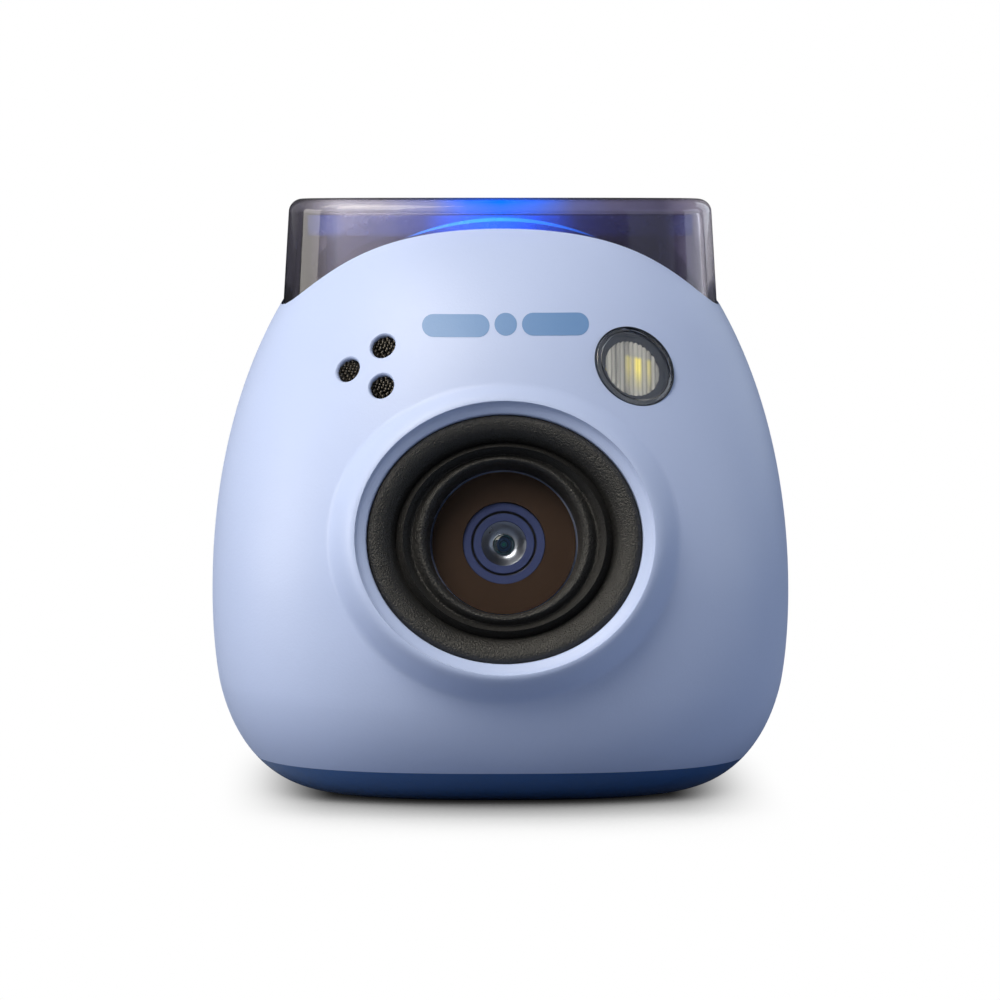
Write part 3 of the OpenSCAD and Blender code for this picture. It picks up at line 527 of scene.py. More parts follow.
def smoked_crown():
    """Smoked clear plastic, a little milky, with painted light and shade across its width and a painted blue glow at
    its top edge.
    """
    m, nt, bsdf = material("smoked crown")
    x = axis_reading(nt, (0, 0, 0), (1, 0, 0), -15.5, 15.5)
    # Painted light and shade across the width: dark at the very left edge, brightest near the left, darker towards the
    # right, with a painted highlight at the right edge.
    tint = ramp_of(nt, x, [(0.0, (0.06, 0.057, 0.08)), (0.03, (0.09, 0.085, 0.11)), (0.07, (0.32, 0.3, 0.36)),
                           (0.12, (0.66, 0.63, 0.74)), (0.3, (0.5, 0.48, 0.65)), (0.5, (0.27, 0.25, 0.42)),
                           (0.7, (0.18, 0.17, 0.31)), (0.88, (0.12, 0.11, 0.19)), (0.94, (0.3, 0.27, 0.38)),
                           (1.0, (0.62, 0.59, 0.64))])
    height = axis_reading(nt, (0, 0, 0), (0, 0, 1), 41, 43)
    # Painted blue glow, strongest in the middle of the top edge.
    middle = ramp_of(nt, x, [(0.22, 0.0), (0.34, 0.15), (0.42, 0.8), (0.5, 1.0), (0.58, 0.7), (0.67, 0.1),
                             (0.76, 0.0)])
    top = ramp_of(nt, height, [(0.0, 0.0), (0.45, 0.1), (0.7, 0.8), (0.9, 1.0)])
    lit = blend_colors(nt, "MULTIPLY", 1.0, middle, top)
    tint = blend_colors(nt, "MIX", lit, tint, (0.0, 0.1, 0.6, 1))
    nt.links.new(blend_colors(nt, "MULTIPLY", 1.0, lit, (0.0, 0.16, 1.0, 1)), bsdf.inputs["Emission Color"])
    bsdf.inputs["Emission Strength"].default_value = 0.7
    cloud = tinted(nt, noise(nt, 160.0, 2.0), (0.95, 0.95, 0.95), 0.05)
    nt.links.new(blend_colors(nt, "MULTIPLY", 1.0, tint, cloud), bsdf.inputs["Base Color"])
    nt.links.new(spread(nt, noise(nt, 900.0, 2.0), 0.1, 0.2), bsdf.inputs["Roughness"])
    bsdf.inputs["Transmission Weight"].default_value = 0.8
    bsdf.inputs["IOR"].default_value = 1.08
    bsdf.inputs["Coat Weight"].default_value = 0.7
    bsdf.inputs["Coat Roughness"].default_value = 0.06
    return m


SMOKE = smoked_crown()
BOARD = solid("solder mask", (0.02, 0.12, 0.06), 0.35, grain=900.0, tint=0.15)
STEEL = solid("stamped steel", (0.6, 0.61, 0.63), 0.3, metallic=1.0, stretch=(1, 12, 1), grain=900.0)
CHROME = solid("satin trim", (0.7, 0.72, 0.76), 0.16, metallic=1.0, grain=2200.0, rough_by=0.05)
BLACK = solid("black plastic", (0.02, 0.02, 0.022), 0.5, relief=0.00001)
FOAM = solid("foam", (0.03, 0.03, 0.03), 0.9, relief=0.00006, grain=3500.0)
CHASSIS = solid("chassis", (0.62, 0.62, 0.6), 0.5, relief=0.00001)
CELL = solid("cell foil", (0.55, 0.57, 0.6), 0.3, metallic=0.9, grain=500.0, relief=0.00002)
NYLON = solid("nylon", (0.7, 0.66, 0.56), 0.5)
WIRE_RED = solid("red wire", (0.35, 0.02, 0.02), 0.4)
WIRE_BLACK = solid("black wire", (0.02, 0.02, 0.02), 0.4)
CHIP = solid("chip", (0.025, 0.025, 0.028), 0.45, relief=0.00001)
SILICON = solid("sensor", (0.03, 0.06, 0.08), 0.12, coat=1.0)
FLEX = solid("flex", (0.42, 0.2, 0.04), 0.3)
LED_YELLOW = solid("phosphor", (0.8, 0.6, 0.08), 0.5)
LED_WHITE = solid("led package", (0.8, 0.82, 0.86), 0.4)
SILVER = solid("reflector", (0.75, 0.76, 0.78), 0.12, metallic=1.0)
SCREW = solid("screw", (0.3, 0.31, 0.33), 0.32, metallic=1.0)
SLIDER = solid("slider", (0.6, 0.66, 0.8), 0.4)
MASK = solid("brown print", (0.06, 0.033, 0.02), 0.5, grain=500.0, tint=0.05, rough_by=0.02, specular=0.2)
CONE = solid("lens seat", (0.42, 0.46, 0.56), 0.3, metallic=1.0, grain=1200.0, rough_by=0.03)
BEAD = solid("lens bead", (0.7, 0.75, 0.8), 0.18, metallic=1.0, grain=1200.0)
BEAD_BLUE = solid("inner bead", (0.12, 0.2, 0.34), 0.25, metallic=0.8, grain=1200.0)
WEAVE = solid("woven wire", (0.06, 0.054, 0.047), 0.22, metallic=1.0, grain=4000.0, tint=0.2)
# Painted shade for the inside of the sound holes.
HOLE_SHADE = solid("painted hole shade", (0.006, 0.006, 0.006), 0.8, grain=4000.0)
FLASH_DARK = solid("flash mask", (0.022, 0.03, 0.05), 0.5, tint=0.08, specular=0.2)


def pane(name, color, alpha):
    """Clean cover glass: mostly see-through, with a little reflection of its own."""
    m, nt, bsdf = material(name)
    nt.links.new(tinted(nt, noise(nt, 600.0), color, 0.05), bsdf.inputs["Base Color"])
    nt.links.new(spread(nt, noise(nt, 900.0), 0.05, 0.09), bsdf.inputs["Roughness"])
    bsdf.inputs["Alpha"].default_value = alpha
    return m


GLASS = pane("cover glass", (0.02, 0.02, 0.025), 0.1)
LENS_GLASS = clear("coated lens", (0.75, 0.82, 1.0), rough=0.0, ior=1.6, tint=0.02)
FLASH_GLASS = clear("flash glass", (0.95, 0.96, 0.98), rough=0.02, ior=1.45, tint=0.02)
FILTER = clear("filter", (0.5, 0.9, 0.85), rough=0.02)
MARK = solid("mark ink", (0.15, 0.29, 0.58), 0.45, grain=5200.0, tint=0.02, relief=0.000008)


def barrel_material():
    """Concentric bands of colour about the lens axis."""
    m, nt, bsdf = material("lens barrel")
    grain = noise(nt, 7000.0, 3.0)
    reach = axis_radius(nt, lens_frame(), 4.0)
    stops = [(0.0, (0.004, 0.006, 0.015)), (1.1, (0.008, 0.012, 0.035)), (1.5, (0.010, 0.016, 0.05)),
             (1.62, (0.048, 0.074, 0.24)), (2.12, (0.052, 0.08, 0.25)), (2.2, (0.004, 0.005, 0.008)),
             (2.3, (0.004, 0.005, 0.008)), (2.38, (0.046, 0.07, 0.235)), (2.88, (0.052, 0.08, 0.25)),
             (2.95, (0.006, 0.007, 0.01))]
    color = ramp_of(nt, reach, [(r / 4, c) for r, c in stops])
    nt.links.new(color, bsdf.inputs["Base Color"])
    nt.links.new(spread(nt, grain, 0.42, 0.6), bsdf.inputs["Roughness"])
    bumped(nt, bsdf, grain, 0.00002)
    return m


def eye_material():
    """The front element: dark coated glass with faint rings and a painted green-blue glint at its middle."""
    m, nt, bsdf = material("coated front element")
    # The green-blue at the middle of the ramp is a painted glint.
    dark, stops = (0.004, 0.01, 0.03), [(0.0, (0.0, 0.02, 0.02)), (0.08, (0.02, 0.16, 0.13))]
    stops += [(0.13, (0.005, 0.02, 0.05)), (0.2, (0.03, 0.09, 0.16)), (0.25, dark), (0.42, (0.012, 0.035, 0.09)),
              (0.55, dark), (0.7, (0.008, 0.05, 0.07)), (0.8, (0.01, 0.02, 0.05))]
    color = ramp_of(nt, axis_radius(nt, lens_frame(), 1.0), stops)
    nt.links.new(color, bsdf.inputs["Base Color"])
    nt.links.new(spread(nt, noise(nt, 2000.0), 0.03, 0.06), bsdf.inputs["Roughness"])
    bsdf.inputs["IOR"].default_value = 1.7
    return m


def finish(obj, mat, body, replaced=()):
    obj.data.materials.clear()
    obj.data.materials.append(mat)
    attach(obj, body)
    if replaced:
        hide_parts(*replaced)
    return obj


# ---------------------------------------------------------------- front shell
RAYS, RINGS = 320, 96


def shell_rings(front, z0, start, t, count):
    phi = ray_angles(RAYS, z0, t)
    r0 = start(phi)
    r1 = ray_end(front, z0, phi, t)
    out = []
    for k in range(count + 1):
        r = r0 + (r1 - r0) * math.sin(math.pi / 2 * k / count)
        x, z = r * np.cos(phi), z0 + r * np.sin(phi)
        if front:
            y = front_face(x, z) if t == 0 else front_y(x, z, t)
        else:
            y = rear_y(x, z, t)
        out.append(np.stack([x, np.where(np.abs(y) < 0.02, 0, y), z], axis=-1))
    return out


def lip_r(phi):
    return oval_r(phi, LIP_A, LIP_B)


def make_front():
    phi = ray_angles(RAYS, LENS_Z, 0.0)
    cup = (LIP_A - 0.85, LIP_B - 0.85)
    rings = shell_rings(True, LENS_Z, lip_r, 0.0, RINGS)[::-1]
    rings += [tilted_ring(phi, LIP_A - e, LIP_B - e, d) for e, d in ((0.04, 0.015), (0.1, 0.06), (0.14, 0.13))]
    cone = ((0.66, 0.19), (0.4, 0.34), (0.2, 0.45), (0.1, 0.51), (0.04, 0.58), (0.0, 0.7), (0, RECESS))
    rings += [tilted_ring(phi, cup[0] + e, cup[1] + e, d) for e, d in cone]
    rings += [tilted_ring(phi, 4.6, 4.6 * math.cos(TILT), y, AXIS_UP) for y in (RECESS, RECESS + LEDGE)]
    rings.append(tilted_ring(phi, cup[0] + 1.1, cup[1] + 1.1, RECESS + LEDGE))
    rings += shell_rings(True, LENS_Z, lambda p: lip_r(p) + 1, WALL, 24)
    obj = loft("front_shell_skin", rings, loop=True)
    holes = []
    for at in SOUND_HOLES:
        m = front_frame(at)
        lip = [(0.35, -3), (0.35, -0.6), (0, -0.59), (0, -0.24), (0.02, -0.15), (0.06, -0.08), (0.13, -0.025),
               (0.24, 0.02), (0.5, 0.1), (0.5, 2)]
        holes.append(lathe("hole", [(SOUND_R + r, z) for r, z in lip], 64, m, smooth=None))
    r = FLASH_R + 0.07
    prof = [(FLASH_R - 0.5, -4), (FLASH_R - 0.5, -1), (r, -0.99), (r, -0.12), (r + 0.03, -0.03), (r + 0.14, 0.06),
            (r + 0.3, 0.6), (r + 0.3, 2)]
    holes.append(lathe("hole", prof, 128, front_frame(FLASH_AT), smooth=None))
    cut(obj, holes)
    follow_surface(obj, front_face)
    return obj


finish(make_front(), BODY, "body", ("front_shell",))


# ---------------------------------------------------------------- rear shell
def make_rear():
    phi = ray_angles(RAYS, BUTTON_Z, 0.0)

    def upright_ring(r, y):
        return np.stack([r * np.cos(phi), np.full(len(phi), float(y)), BUTTON_Z + r * np.sin(phi)], axis=-1)

    rings = shell_rings(False, BUTTON_Z, lambda p: np.full_like(p, TRIM_R + 0.05), 0.0, RINGS)[::-1]
    rings += [upright_ring(TRIM_R + 0.05, WELL_Y), upright_ring(3.2, WELL_Y), upright_ring(3.2, WELL_Y - LEDGE),
              upright_ring(TRIM_R + WALL - 0.4, WELL_Y - LEDGE)]
    rings += shell_rings(False, BUTTON_Z, lambda p: np.full_like(p, TRIM_R + WALL), WALL, 24)
    obj = loft("rear_shell_skin", rings, loop=True, flip=True)
    cut(obj, [block("opening", (15, 24), DOOR_Y, DOOR_Z), upright("pocket", POCKET_R, DOOR_Z, HINGE)])
    follow_surface(obj, rear_y)
    return obj


finish(make_rear(), BODY, "body", ("rear_shell",))


def make_door():
    n, m, skin = 40, 40, 1.1
    y = np.linspace(DOOR_Y[0] + CLEAR, DOOR_Y[1] - CLEAR, n)
    z = np.linspace(DOOR_Z[0] + CLEAR, DOOR_Z[1] - CLEAR, m)
    rings = []
    for yy in y:
        x = rear_x(np.full(m, yy), z)
        outer = np.stack([x, np.full(m, yy), z], axis=-1)
        inner = np.stack([x - skin, np.full(m, yy), z], axis=-1)[::-1]
        rings.append(np.concatenate([outer, inner]))
    return loft("port_cover_skin", rings, flip=True)


finish(make_door(), BODY, "port_door", ("port_cover",))


# ---------------------------------------------------------------- shutter spring
def make_spring():
    """The coil under the shutter button, drawn at one length; it does not shorten as the button goes in."""
    turns, sides, coil, wire = 3.5, 36, 3.9, 0.25
    start, rise, count = WELL_Y + 0.3, REAR_REACH - 2.65 - WELL_Y, int(turns * sides)
    rings = []
    for k in range(count + 1):
        a = 2 * math.pi * k / sides
        around = [(math.cos(b), math.sin(b)) for b in np.arange(10) * math.pi / 5]
        rings.append([((coil + wire * u) * math.cos(a), start + rise * k / count + wire * v,
                       BUTTON_Z + (coil + wire * u) * math.sin(a)) for u, v in around])
    return loft("button_spring_skin", rings, flip=True, smooth=60.0)


spring = finish(make_spring(), STEEL, "body", ("button_spring",))
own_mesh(spring)


# ---------------------------------------------------------------- base
def base_ring(n, z, t, level):
    phi = np.arange(n) * 2 * math.pi / n
    c, s = np.cos(phi), np.sin(phi)
    p = np.where(s <= 0, float(front_n(np.array(0.0))), REAR_N)
    zz = np.array(float(z))
    a, f, r = float(half_w(zz, t)), float(front_d(zz, t)), float(rear_d(zz, t))
    return np.stack([a * np.sign(c) * np.abs(c) ** (2 / p), np.where(s <= 0, -f, r) * np.abs(s) ** (2 / p),
                     np.full(n, float(level))], axis=-1)


def make_base():
    n = 384
    gap = WALL + 0.1
    rings = [base_ring(n, SPLIT_Z * (k / 36) ** 1.8, 0, SPLIT_Z * (k / 36) ** 1.8) for k in range(37)]
    rings += [base_ring(n, SPLIT_Z, gap, SPLIT_Z), base_ring(n, SPLIT_Z, gap, SPLIT_Z + 1.2),
              base_ring(n, SPLIT_Z, gap + 1, SPLIT_Z + 1.2), base_ring(n, WALL, WALL + 1.6, WALL)]
    obj = loft("base_cover_skin", rings, flip=True)
    cutters = [upright("hole", SOCKET_HOLE, (-1, 3), (0, 0)), upright("hole", POWER_HOLE, (-1, 3), POWER_AT),
               block("hole", MODE_X, MODE_Y, (-1, 3))]
    for x in (-SCREW_X, SCREW_X):
        for y in (-SCREW_Y, SCREW_Y):
            cutters += [upright("hole", SCREW_HOLE, (0.5, 3), (x, y)), upright("hole", SCREW_HEAD, (-1, 0.75), (x, y))]
    return cut(obj, cutters)


finish(make_base(), BASE, "body", ("base_cover",))


# ---------------------------------------------------------------- crown
def crown_ring(n, t, shrink, z):
    phi = np.arange(n) * 2 * math.pi / n
    c, s = np.cos(phi), np.sin(phi)
    w, d = crown_half_w(z, t) - shrink, crown_half_d(z, t) - shrink
    return np.stack([w * np.sign(c) * np.abs(c) ** (2 / CROWN_N), d * np.sign(s) * np.abs(s) ** (2 / CROWN_N),
                     np.full(n, float(z))], axis=-1)


def make_crown():
    n, edge = 384, 0.9
    inner_top = BODY_H - CROWN_WALL
    turns = [math.radians(a) for a in range(0, 91, 6)]
    rings = [crown_ring(n, 0, edge * (1 - math.sin(a)), BODY_H - edge + edge * math.cos(a)) for a in turns]
    rings += [crown_ring(n, 0, 0, z) for z in (40, 37, CROWN_LOW)]
    rings += [crown_ring(n, CROWN_WALL, 0, z) for z in (CROWN_LOW, 37, 40, inner_top - 0.3)]
    rings += [crown_ring(n, CROWN_WALL, 0.09, inner_top - 0.09), crown_ring(n, CROWN_WALL, 0.3, inner_top)]
    return loft("crown_skin", rings)


finish(make_crown(), SMOKE, "body", ("top_cover",))


# ---------------------------------------------------------------- lens surround
def smooth_profile(points):
    """More points on a smooth curve through the given ones."""
    steps = 6
    p = np.array(points, dtype=float)
    out = []
    for i in range(len(p) - 1):
        a, b, c, d = p[max(i - 1, 0)], p[i], p[i + 1], p[min(i + 2, len(p) - 1)]
        for k in range(steps):
            u = k / steps
            bend = (2 * a - 5 * b + 4 * c - d) * u**2 + (3 * b - a - 3 * c + d) * u**3
            out.append(0.5 * (2 * b + (c - a) * u + bend))
    out.append(p[-1])
    return out


def make_bezel():
    """The steps are (half width, half height, depth behind the lip). They turn from oval to round inwards."""
    rounded = [[9.7, 8.66, 0.8], [9.55, 8.53, 0.6], [9.2, 8.22, 0.5], [8.6, 7.7, 0.7], [8.15, 7.3, 1.1],
               [7.85, 7.05, 1.6], [7.7, 6.92, 1.95]]
    ridge = [[7.7, 6.92, 1.95], [7.4, 6.68, 1.45], [7.2, 6.52, 1.15]]
    inner = [[7.2, 6.52, 1.15], [7.05, 6.42, 1.4], [6.6, 6.1, 2.05], [6.2, 5.86, 1.65], [5.9, 5.68, 1.5],
             [5.55, 5.46, 1.8], [5.3, 5.3, 2.6]]
    steps = [np.array([9.7, 8.66, 3.95])]
    steps += smooth_profile(rounded)[:-1] + smooth_profile(ridge)[:-1] + smooth_profile(inner)
    steps.append(np.array([5.25, 5.25, 3.95]))
    phi = np.arange(320) * 2 * math.pi / 320
    rings = []
    for w, h, depth in steps:
        mix = min(1, max(0, (w - 5.25) / (9.7 - 5.25)))
        rings.append(tilted_ring(phi, w, h * (mix + (1 - mix) * math.cos(TILT)), depth, AXIS_UP * (1 - mix)))
    return loft("bezel_skin", rings, loop=True, smooth=50.0)


finish(make_bezel(), BEZEL, "body", ("lens_bezel",))


# ---------------------------------------------------------------- printed mark, mesh and flash
def on_front(points, lift):
    """Lays (x, z) points on the front surface, lifted along its normal."""
    p = np.array(points, dtype=float)
    x, z, h = p[:, 0], p[:, 1], 0.02
    gx = (front_face(x + h, z) - front_face(x - h, z)) / (2 * h)
    gz = (front_face(x, z + h) - front_face(x, z - h)) / (2 * h)
    n = np.stack([gx, -np.ones_like(gx), gz], axis=-1)
    n /= np.linalg.norm(n, axis=1)[:, None]
    return np.stack([x, front_face(x, z), z], axis=-1) + n * lift


def patch(cx, cz, half, r):
    """A filled round-ended bar as a grid of quads."""
    n, m = 26, 9
    grid, faces = [], []
    for i in range(n + 1):
        u = -1 + 2 * i / n
        x = (half + r) * math.sin(math.pi / 2 * u)
        over = max(0.0, abs(x) - half)
        reach = math.sqrt(max(0.0, r * r - over * over))
        grid += [(cx + x, cz + reach * (2 * j / m - 1)) for j in range(m + 1)]
    for i in range(n):
        for j in range(m):
            a = i * (m + 1) + j
            faces.append((a, a + m + 1, a + m + 2, a + 1))
    return grid, faces


# middle x and z, half length and radius
MARK_ROW = [(-3.4, 34.15, 1.6, 0.8), (0.15, 34.25, 0.0, 0.8), (3.7, 34.25, 1.6, 0.8)]


def make_mark():
    """A plain printed row: bar, dot, bar."""
    verts, faces = [], []
    for cx, cz, half, r in MARK_ROW:
        grid, quads = patch(cx, cz, half, r)
        base = len(verts)
        verts += [tuple(v) for v in on_front(grid, 0.012)]
        faces += [tuple(base + k for k in q) for q in quads]
    return new_object("printed_mark", verts, faces)




finish(make_mark(), MARK, "body")


def make_mesh(at):
    """Woven wire over a hole: two families of wires that pass over and under each other."""
    pitch, wire, reach = 0.27, 0.085, SOUND_R - 0.02
    frame_at = front_frame(at, MESH_DEPTH, upright=True)
    verts, faces = [], []
    steps = int(reach / pitch)
    for family in (0, 1):
        for i in range(-steps, steps + 1):
            off = i * pitch * (1 if family else 0.75)
            half = math.sqrt(max(0.0, reach * reach - off * off))
            if half < 0.15:
                continue
            count = max(4, int(half * 2 / (pitch / 3)))
            path = []
            for k in range(count + 1):
                t = -half + 2 * half * k / count
                wave = math.cos(math.pi * (t / pitch + i + family)) * wire * 0.8
                path.append((t, off, wave) if family == 0 else (off, t, wave))
            base = len(verts)
            for q in path:
                for a in range(5):
                    c, d = math.cos(a * 2 * math.pi / 5) * wire, math.sin(a * 2 * math.pi / 5) * wire
                    verts.append((q[0], q[1] + c, q[2] + d) if family == 0 else (q[0] + c, q[1], q[2] + d))
            for k in range(len(path) - 1):
                for a in range(5):
                    b = (a + 1) % 5
                    u, v = base + k * 5, base + (k + 1) * 5
                    quad = (u + a, u + b, v + b, v + a)
                    faces.append(quad if family else quad[::-1])
    turn = Matrix.Rotation(math.radians(-20), 4, "Z")
    obj = new_object("hole_mesh", verts, faces, smooth=None, world=False)
    obj.data.transform(frame_at @ turn)
    return obj


RIB_PITCH, RIB_REACH = 0.34, 2.08


def make_ribs():
    """The flash's ribbed diffuser: round ribs that run up the window, each with its own rounded end."""
    cols, rows = 160, 14
    verts, faces = [], []
    for i in range(cols + 1):
        x = RIB_REACH * math.sin(math.pi / 2 * (2 * i / cols - 1)) * 0.999
        crest = abs(math.cos(math.pi * x / RIB_PITCH))
        end = math.sqrt(RIB_REACH**2 - x * x) + 0.1 * (crest - 0.5)
        for j in range(rows + 1):
            verts.append((x, end * (2 * j / rows - 1), -0.93 + 0.11 * crest))
    for i in range(cols):
        for j in range(rows):
            a = i * (rows + 1) + j
            faces.append((a, a + rows + 1, a + rows + 2, a + 1))
    obj = new_object("flash_ribs", verts, faces, smooth=60.0, world=False)
    obj.data.transform(front_frame(FLASH_AT, upright=True))
    return obj


def make_flash_window():
    r = FLASH_R
    profile = [(0.02, -0.8), (r - 0.08, -0.8), (r - 0.03, -0.7), (r - 0.03, -0.26), (r - 0.05, -0.17),
               (r - 0.11, -0.12), (r - 0.3, -0.06), (r - 0.33, -0.1), (r - 0.37, -0.1), (r - 0.4, -0.045)]
    top = [(a, 0.09 - a * a / 56) for a in (2.4, 2.1, 1.8, 1.4, 1.0, 0.6, 0.3, 0.02)]
    return lathe("flash_window_skin", profile + top, 128, front_frame(FLASH_AT), smooth=35.0)


def make_flash_mask():
    n = 256
    phi = np.arange(n) * 2 * math.pi / n
    inner = RIB_REACH + 0.02 + 0.03 * np.cos(phi * 26)
    rings = []
    for r, z in ((FLASH_R - 0.1, -0.98), (FLASH_R - 0.1, -0.83), (None, -0.83), (None, -0.98)):
        rr = inner if r is None else np.full(n, r)
        rings.append(np.stack([rr * np.cos(phi), rr * np.sin(phi), np.full(n, z)], axis=-1))
    obj = loft("flash_mask_skin", rings, loop=True, flip=True, world=False)
    obj.data.transform(front_frame(FLASH_AT))
    # A dark liner in the gap round the window: painted shade.
    shade_liner = [(FLASH_R - 0.01, -0.95), (FLASH_R + 0.05, -0.95), (FLASH_R + 0.05, -0.07), (FLASH_R - 0.01, -0.09)]
    return join("flash_mask_skin", [obj, lathe("shade_liner", shade_liner, 128, front_frame(FLASH_AT), loop=True)])


weave = join("woven_mesh", [make_mesh(at) for at in SOUND_HOLES])
# Near-black discs behind the weaves: painted shade inside the holes.
disc = [(0.02, -0.52), (SOUND_R - 0.02, -0.52), (SOUND_R - 0.02, -0.48), (0.02, -0.48)]
backing = join("mesh_backing", [lathe("b", disc, 48, front_frame(at)) for at in SOUND_HOLES])


# ---------------------------------------------------------------- lens face
def turned_on_lens(name, profile, loop=False, smooth=30.0):
    """Turned about the lens axis; the profile is (radius, depth behind the lip)."""
    flip = Matrix.Rotation(math.pi / 2, 4, "X")
    return lathe(name, [(r, -d) for r, d in profile], 128, lens_frame() @ flip, loop, smooth)


def ring_bead(name, radius, tube, depth):
    a = [k * math.pi / 5 for k in range(10)]
    return turned_on_lens(name, [(radius + tube * math.cos(k), depth - tube * math.sin(k)) for k in a], loop=True)


EYE_DEPTH = 4.02
barrel_face = [(2.93, 4.95), (2.93, EYE_DEPTH), (2.9, EYE_DEPTH - 0.04), (2.36, EYE_DEPTH - 0.04), (2.3, EYE_DEPTH),
               (2.28, EYE_DEPTH + 0.22), (2.2, EYE_DEPTH + 0.22), (2.17, EYE_DEPTH + 0.03), (2.12, EYE_DEPTH),
               (1.63, EYE_DEPTH), (1.6, EYE_DEPTH + 0.03), (1.6, EYE_DEPTH + 0.1), (1.7, 4.95)]
cone_face = [(1.59, EYE_DEPTH + 0.1), (1.5, EYE_DEPTH + 0.16), (1.3, EYE_DEPTH + 0.33), (1.1, EYE_DEPTH + 0.5),
             (0.9, EYE_DEPTH + 0.62), (0.8, EYE_DEPTH + 0.64), (0.8, EYE_DEPTH + 0.8), (1.59, EYE_DEPTH + 0.8)]
dome = [(0.79 * math.sin(a), EYE_DEPTH + 0.72 - 0.16 * math.cos(a)) for a in np.linspace(math.pi / 2, 0.03, 14)]
EYE_BEADS = [(0.77, 0.035, EYE_DEPTH + 0.62), (0.5, 0.022, EYE_DEPTH + 0.6), (0.34, 0.018, EYE_DEPTH + 0.58)]


def rib_material():
    """Silvery diffuser with painted light and shade in upright bands, the LED's yellow painted on as upright stripes
    where it would show through, and a faint painted glow.
    """
    m, nt, bsdf = material("flash diffuser")
    at = front_frame(FLASH_AT, upright=True)
    across, up = at.to_3x3() @ Vector((1, 0, 0)), at.to_3x3() @ Vector((0, 1, 0))
    x = axis_reading(nt, at.translation, across, -2.2, 2.2)
    y = axis_reading(nt, at.translation, up, -2.2, 2.2)
    # Painted light and shade: pale and dark upright bands across the ribs.
    dark, grey, pale = (0.17, 0.17, 0.165), (0.27, 0.265, 0.25), (0.38, 0.37, 0.34)
    base = ramp_of(nt, x, [(0.0, grey), (0.1, pale), (0.17, grey), (0.24, dark), (0.3, pale), (0.36, dark),
                           (0.44, grey), (0.55, pale), (0.66, pale), (0.78, grey), (0.84, dark), (0.88, pale),
                           (0.94, dark), (1.0, grey)])
    # The LED's yellow, painted on in upright stripes where it would be seen through the ribs.
    stripes = ramp_of(nt, x, [(0.36, 0.0), (0.42, 0.5), (0.47, 0.35), (0.5, 0.12), (0.53, 0.2), (0.57, 1.0),
                              (0.63, 1.0), (0.68, 0.1), (0.75, 0.1), (0.79, 0.5), (0.83, 0.3), (0.86, 0.0)])
    rows = ramp_of(nt, y, [(0.1, 0.0), (0.26, 0.3), (0.42, 0.75), (0.5, 1.0), (0.68, 1.0), (0.74, 0.0)])
    amount = blend_colors(nt, "MULTIPLY", 1.0, stripes, rows)
    color = blend_colors(nt, "MIX", amount, base, (0.95, 0.82, 0.2, 1))
    nt.links.new(color, bsdf.inputs["Base Color"])
    nt.links.new(spread(nt, noise(nt, 1500.0), 0.3, 0.45), bsdf.inputs["Roughness"])
    # A faint painted glow over the whole colour.
    nt.links.new(color, bsdf.inputs["Emission Color"])
    bsdf.inputs["Emission Strength"].default_value = 0.12
    return m


finish(turned_on_lens("lens_barrel_skin", barrel_face, loop=True), barrel_material(), "body",
       ("lens_barrel",))
finish(turned_on_lens("lens_seat", cone_face, loop=True, smooth=60.0), CONE, "body")
dome += [(0.03, EYE_DEPTH + 0.8), (0.79, EYE_DEPTH + 0.8)]
finish(turned_on_lens("front_element_skin", dome, loop=True), eye_material(), "body",
       ("front_element",))
for i, (radius, tube, depth) in enumerate(EYE_BEADS):
    finish(ring_bead("lens_bead_%d" % i, radius, tube, depth), BEAD_BLUE if i else BEAD, "body")
finish(make_flash_window(), FLASH_GLASS, "body", ("flash_window",))
finish(make_flash_mask(), FLASH_DARK, "body", ("flash_mask",))
finish(make_ribs(), rib_material(), "body")
finish(weave, WEAVE, "body", ("sound_mesh",))
finish(backing, HOLE_SHADE, "body")

LIT_TOP = 41.57  # the height of the line's middle


def make_glow_line():
    """A thin bright line that follows the shell's top edge inside the crown."""
    n, half = 64, 8.5
    rings = []
    for i in range(n + 1):
        x = half * (2 * i / n - 1)
        taper = max(0.1, 1 - (x / half) ** 2)
        z, y = LIT_TOP - 0.028 * x * x, -(CROWN_D / 2 - CROWN_WALL - 0.3)
        d = 0.13 * taper
        rings.append([(x, y - 0.05, z - d), (x, y + 0.05, z - d), (x, y + 0.05, z + d), (x, y - 0.05, z + d)])
    return loft("glow_line", rings)


def glow(name, color, strength, stops, half):
    """Lit clear plastic: its brightness follows the distance along the guide."""
    m, nt, bsdf = material(name)
    x = axis_reading(nt, (0, 0, 0), (1, 0, 0), -half, half)
    nt.links.new(tinted(nt, noise(nt, 300.0), (0.75, 0.82, 0.95), 0.04), bsdf.inputs["Base Color"])
    lit = blend_colors(nt, "MULTIPLY", 1.0, ramp_of(nt, x, stops),
                       ramp_of(nt, axis_reading(nt, (0, 0, 0), (0, 0, 1), 39.9, 40.9), [(0.3, 0.0), (0.7, 1.0)]))
    nt.links.new(blend_colors(nt, "MULTIPLY", 1.0, lit, color + (1,)), bsdf.inputs["Emission Color"])
    bsdf.inputs["Emission Strength"].default_value = strength
    nt.links.new(spread(nt, noise(nt, 900.0), 0.15, 0.3), bsdf.inputs["Roughness"])
    bsdf.inputs["Transmission Weight"].default_value = 0.8
    bsdf.inputs["IOR"].default_value = 1.3
    return m


GUIDE_LIT = glow("lit light guide", (0.0, 0.16, 1.0), 3.0,
                 [(0.0, 0.12), (0.05, 0.1), (0.1, 0.02), (0.3, 0.05), (0.4, 0.5), (0.47, 1.0), (0.53, 1.0), (0.6, 0.5),
                  (0.7, 0.04), (0.92, 0.0), (0.97, 0.05), (1.0, 0.06)], 14.2)
LINE_LIT = glow("lit edge", (0.02, 0.32, 1.0), 4.0, [(0.0, 0.15), (0.3, 0.6), (0.5, 1.0), (0.7, 0.6), (1.0, 0.1)], 8.5)
finish(make_glow_line(), LINE_LIT, "body")

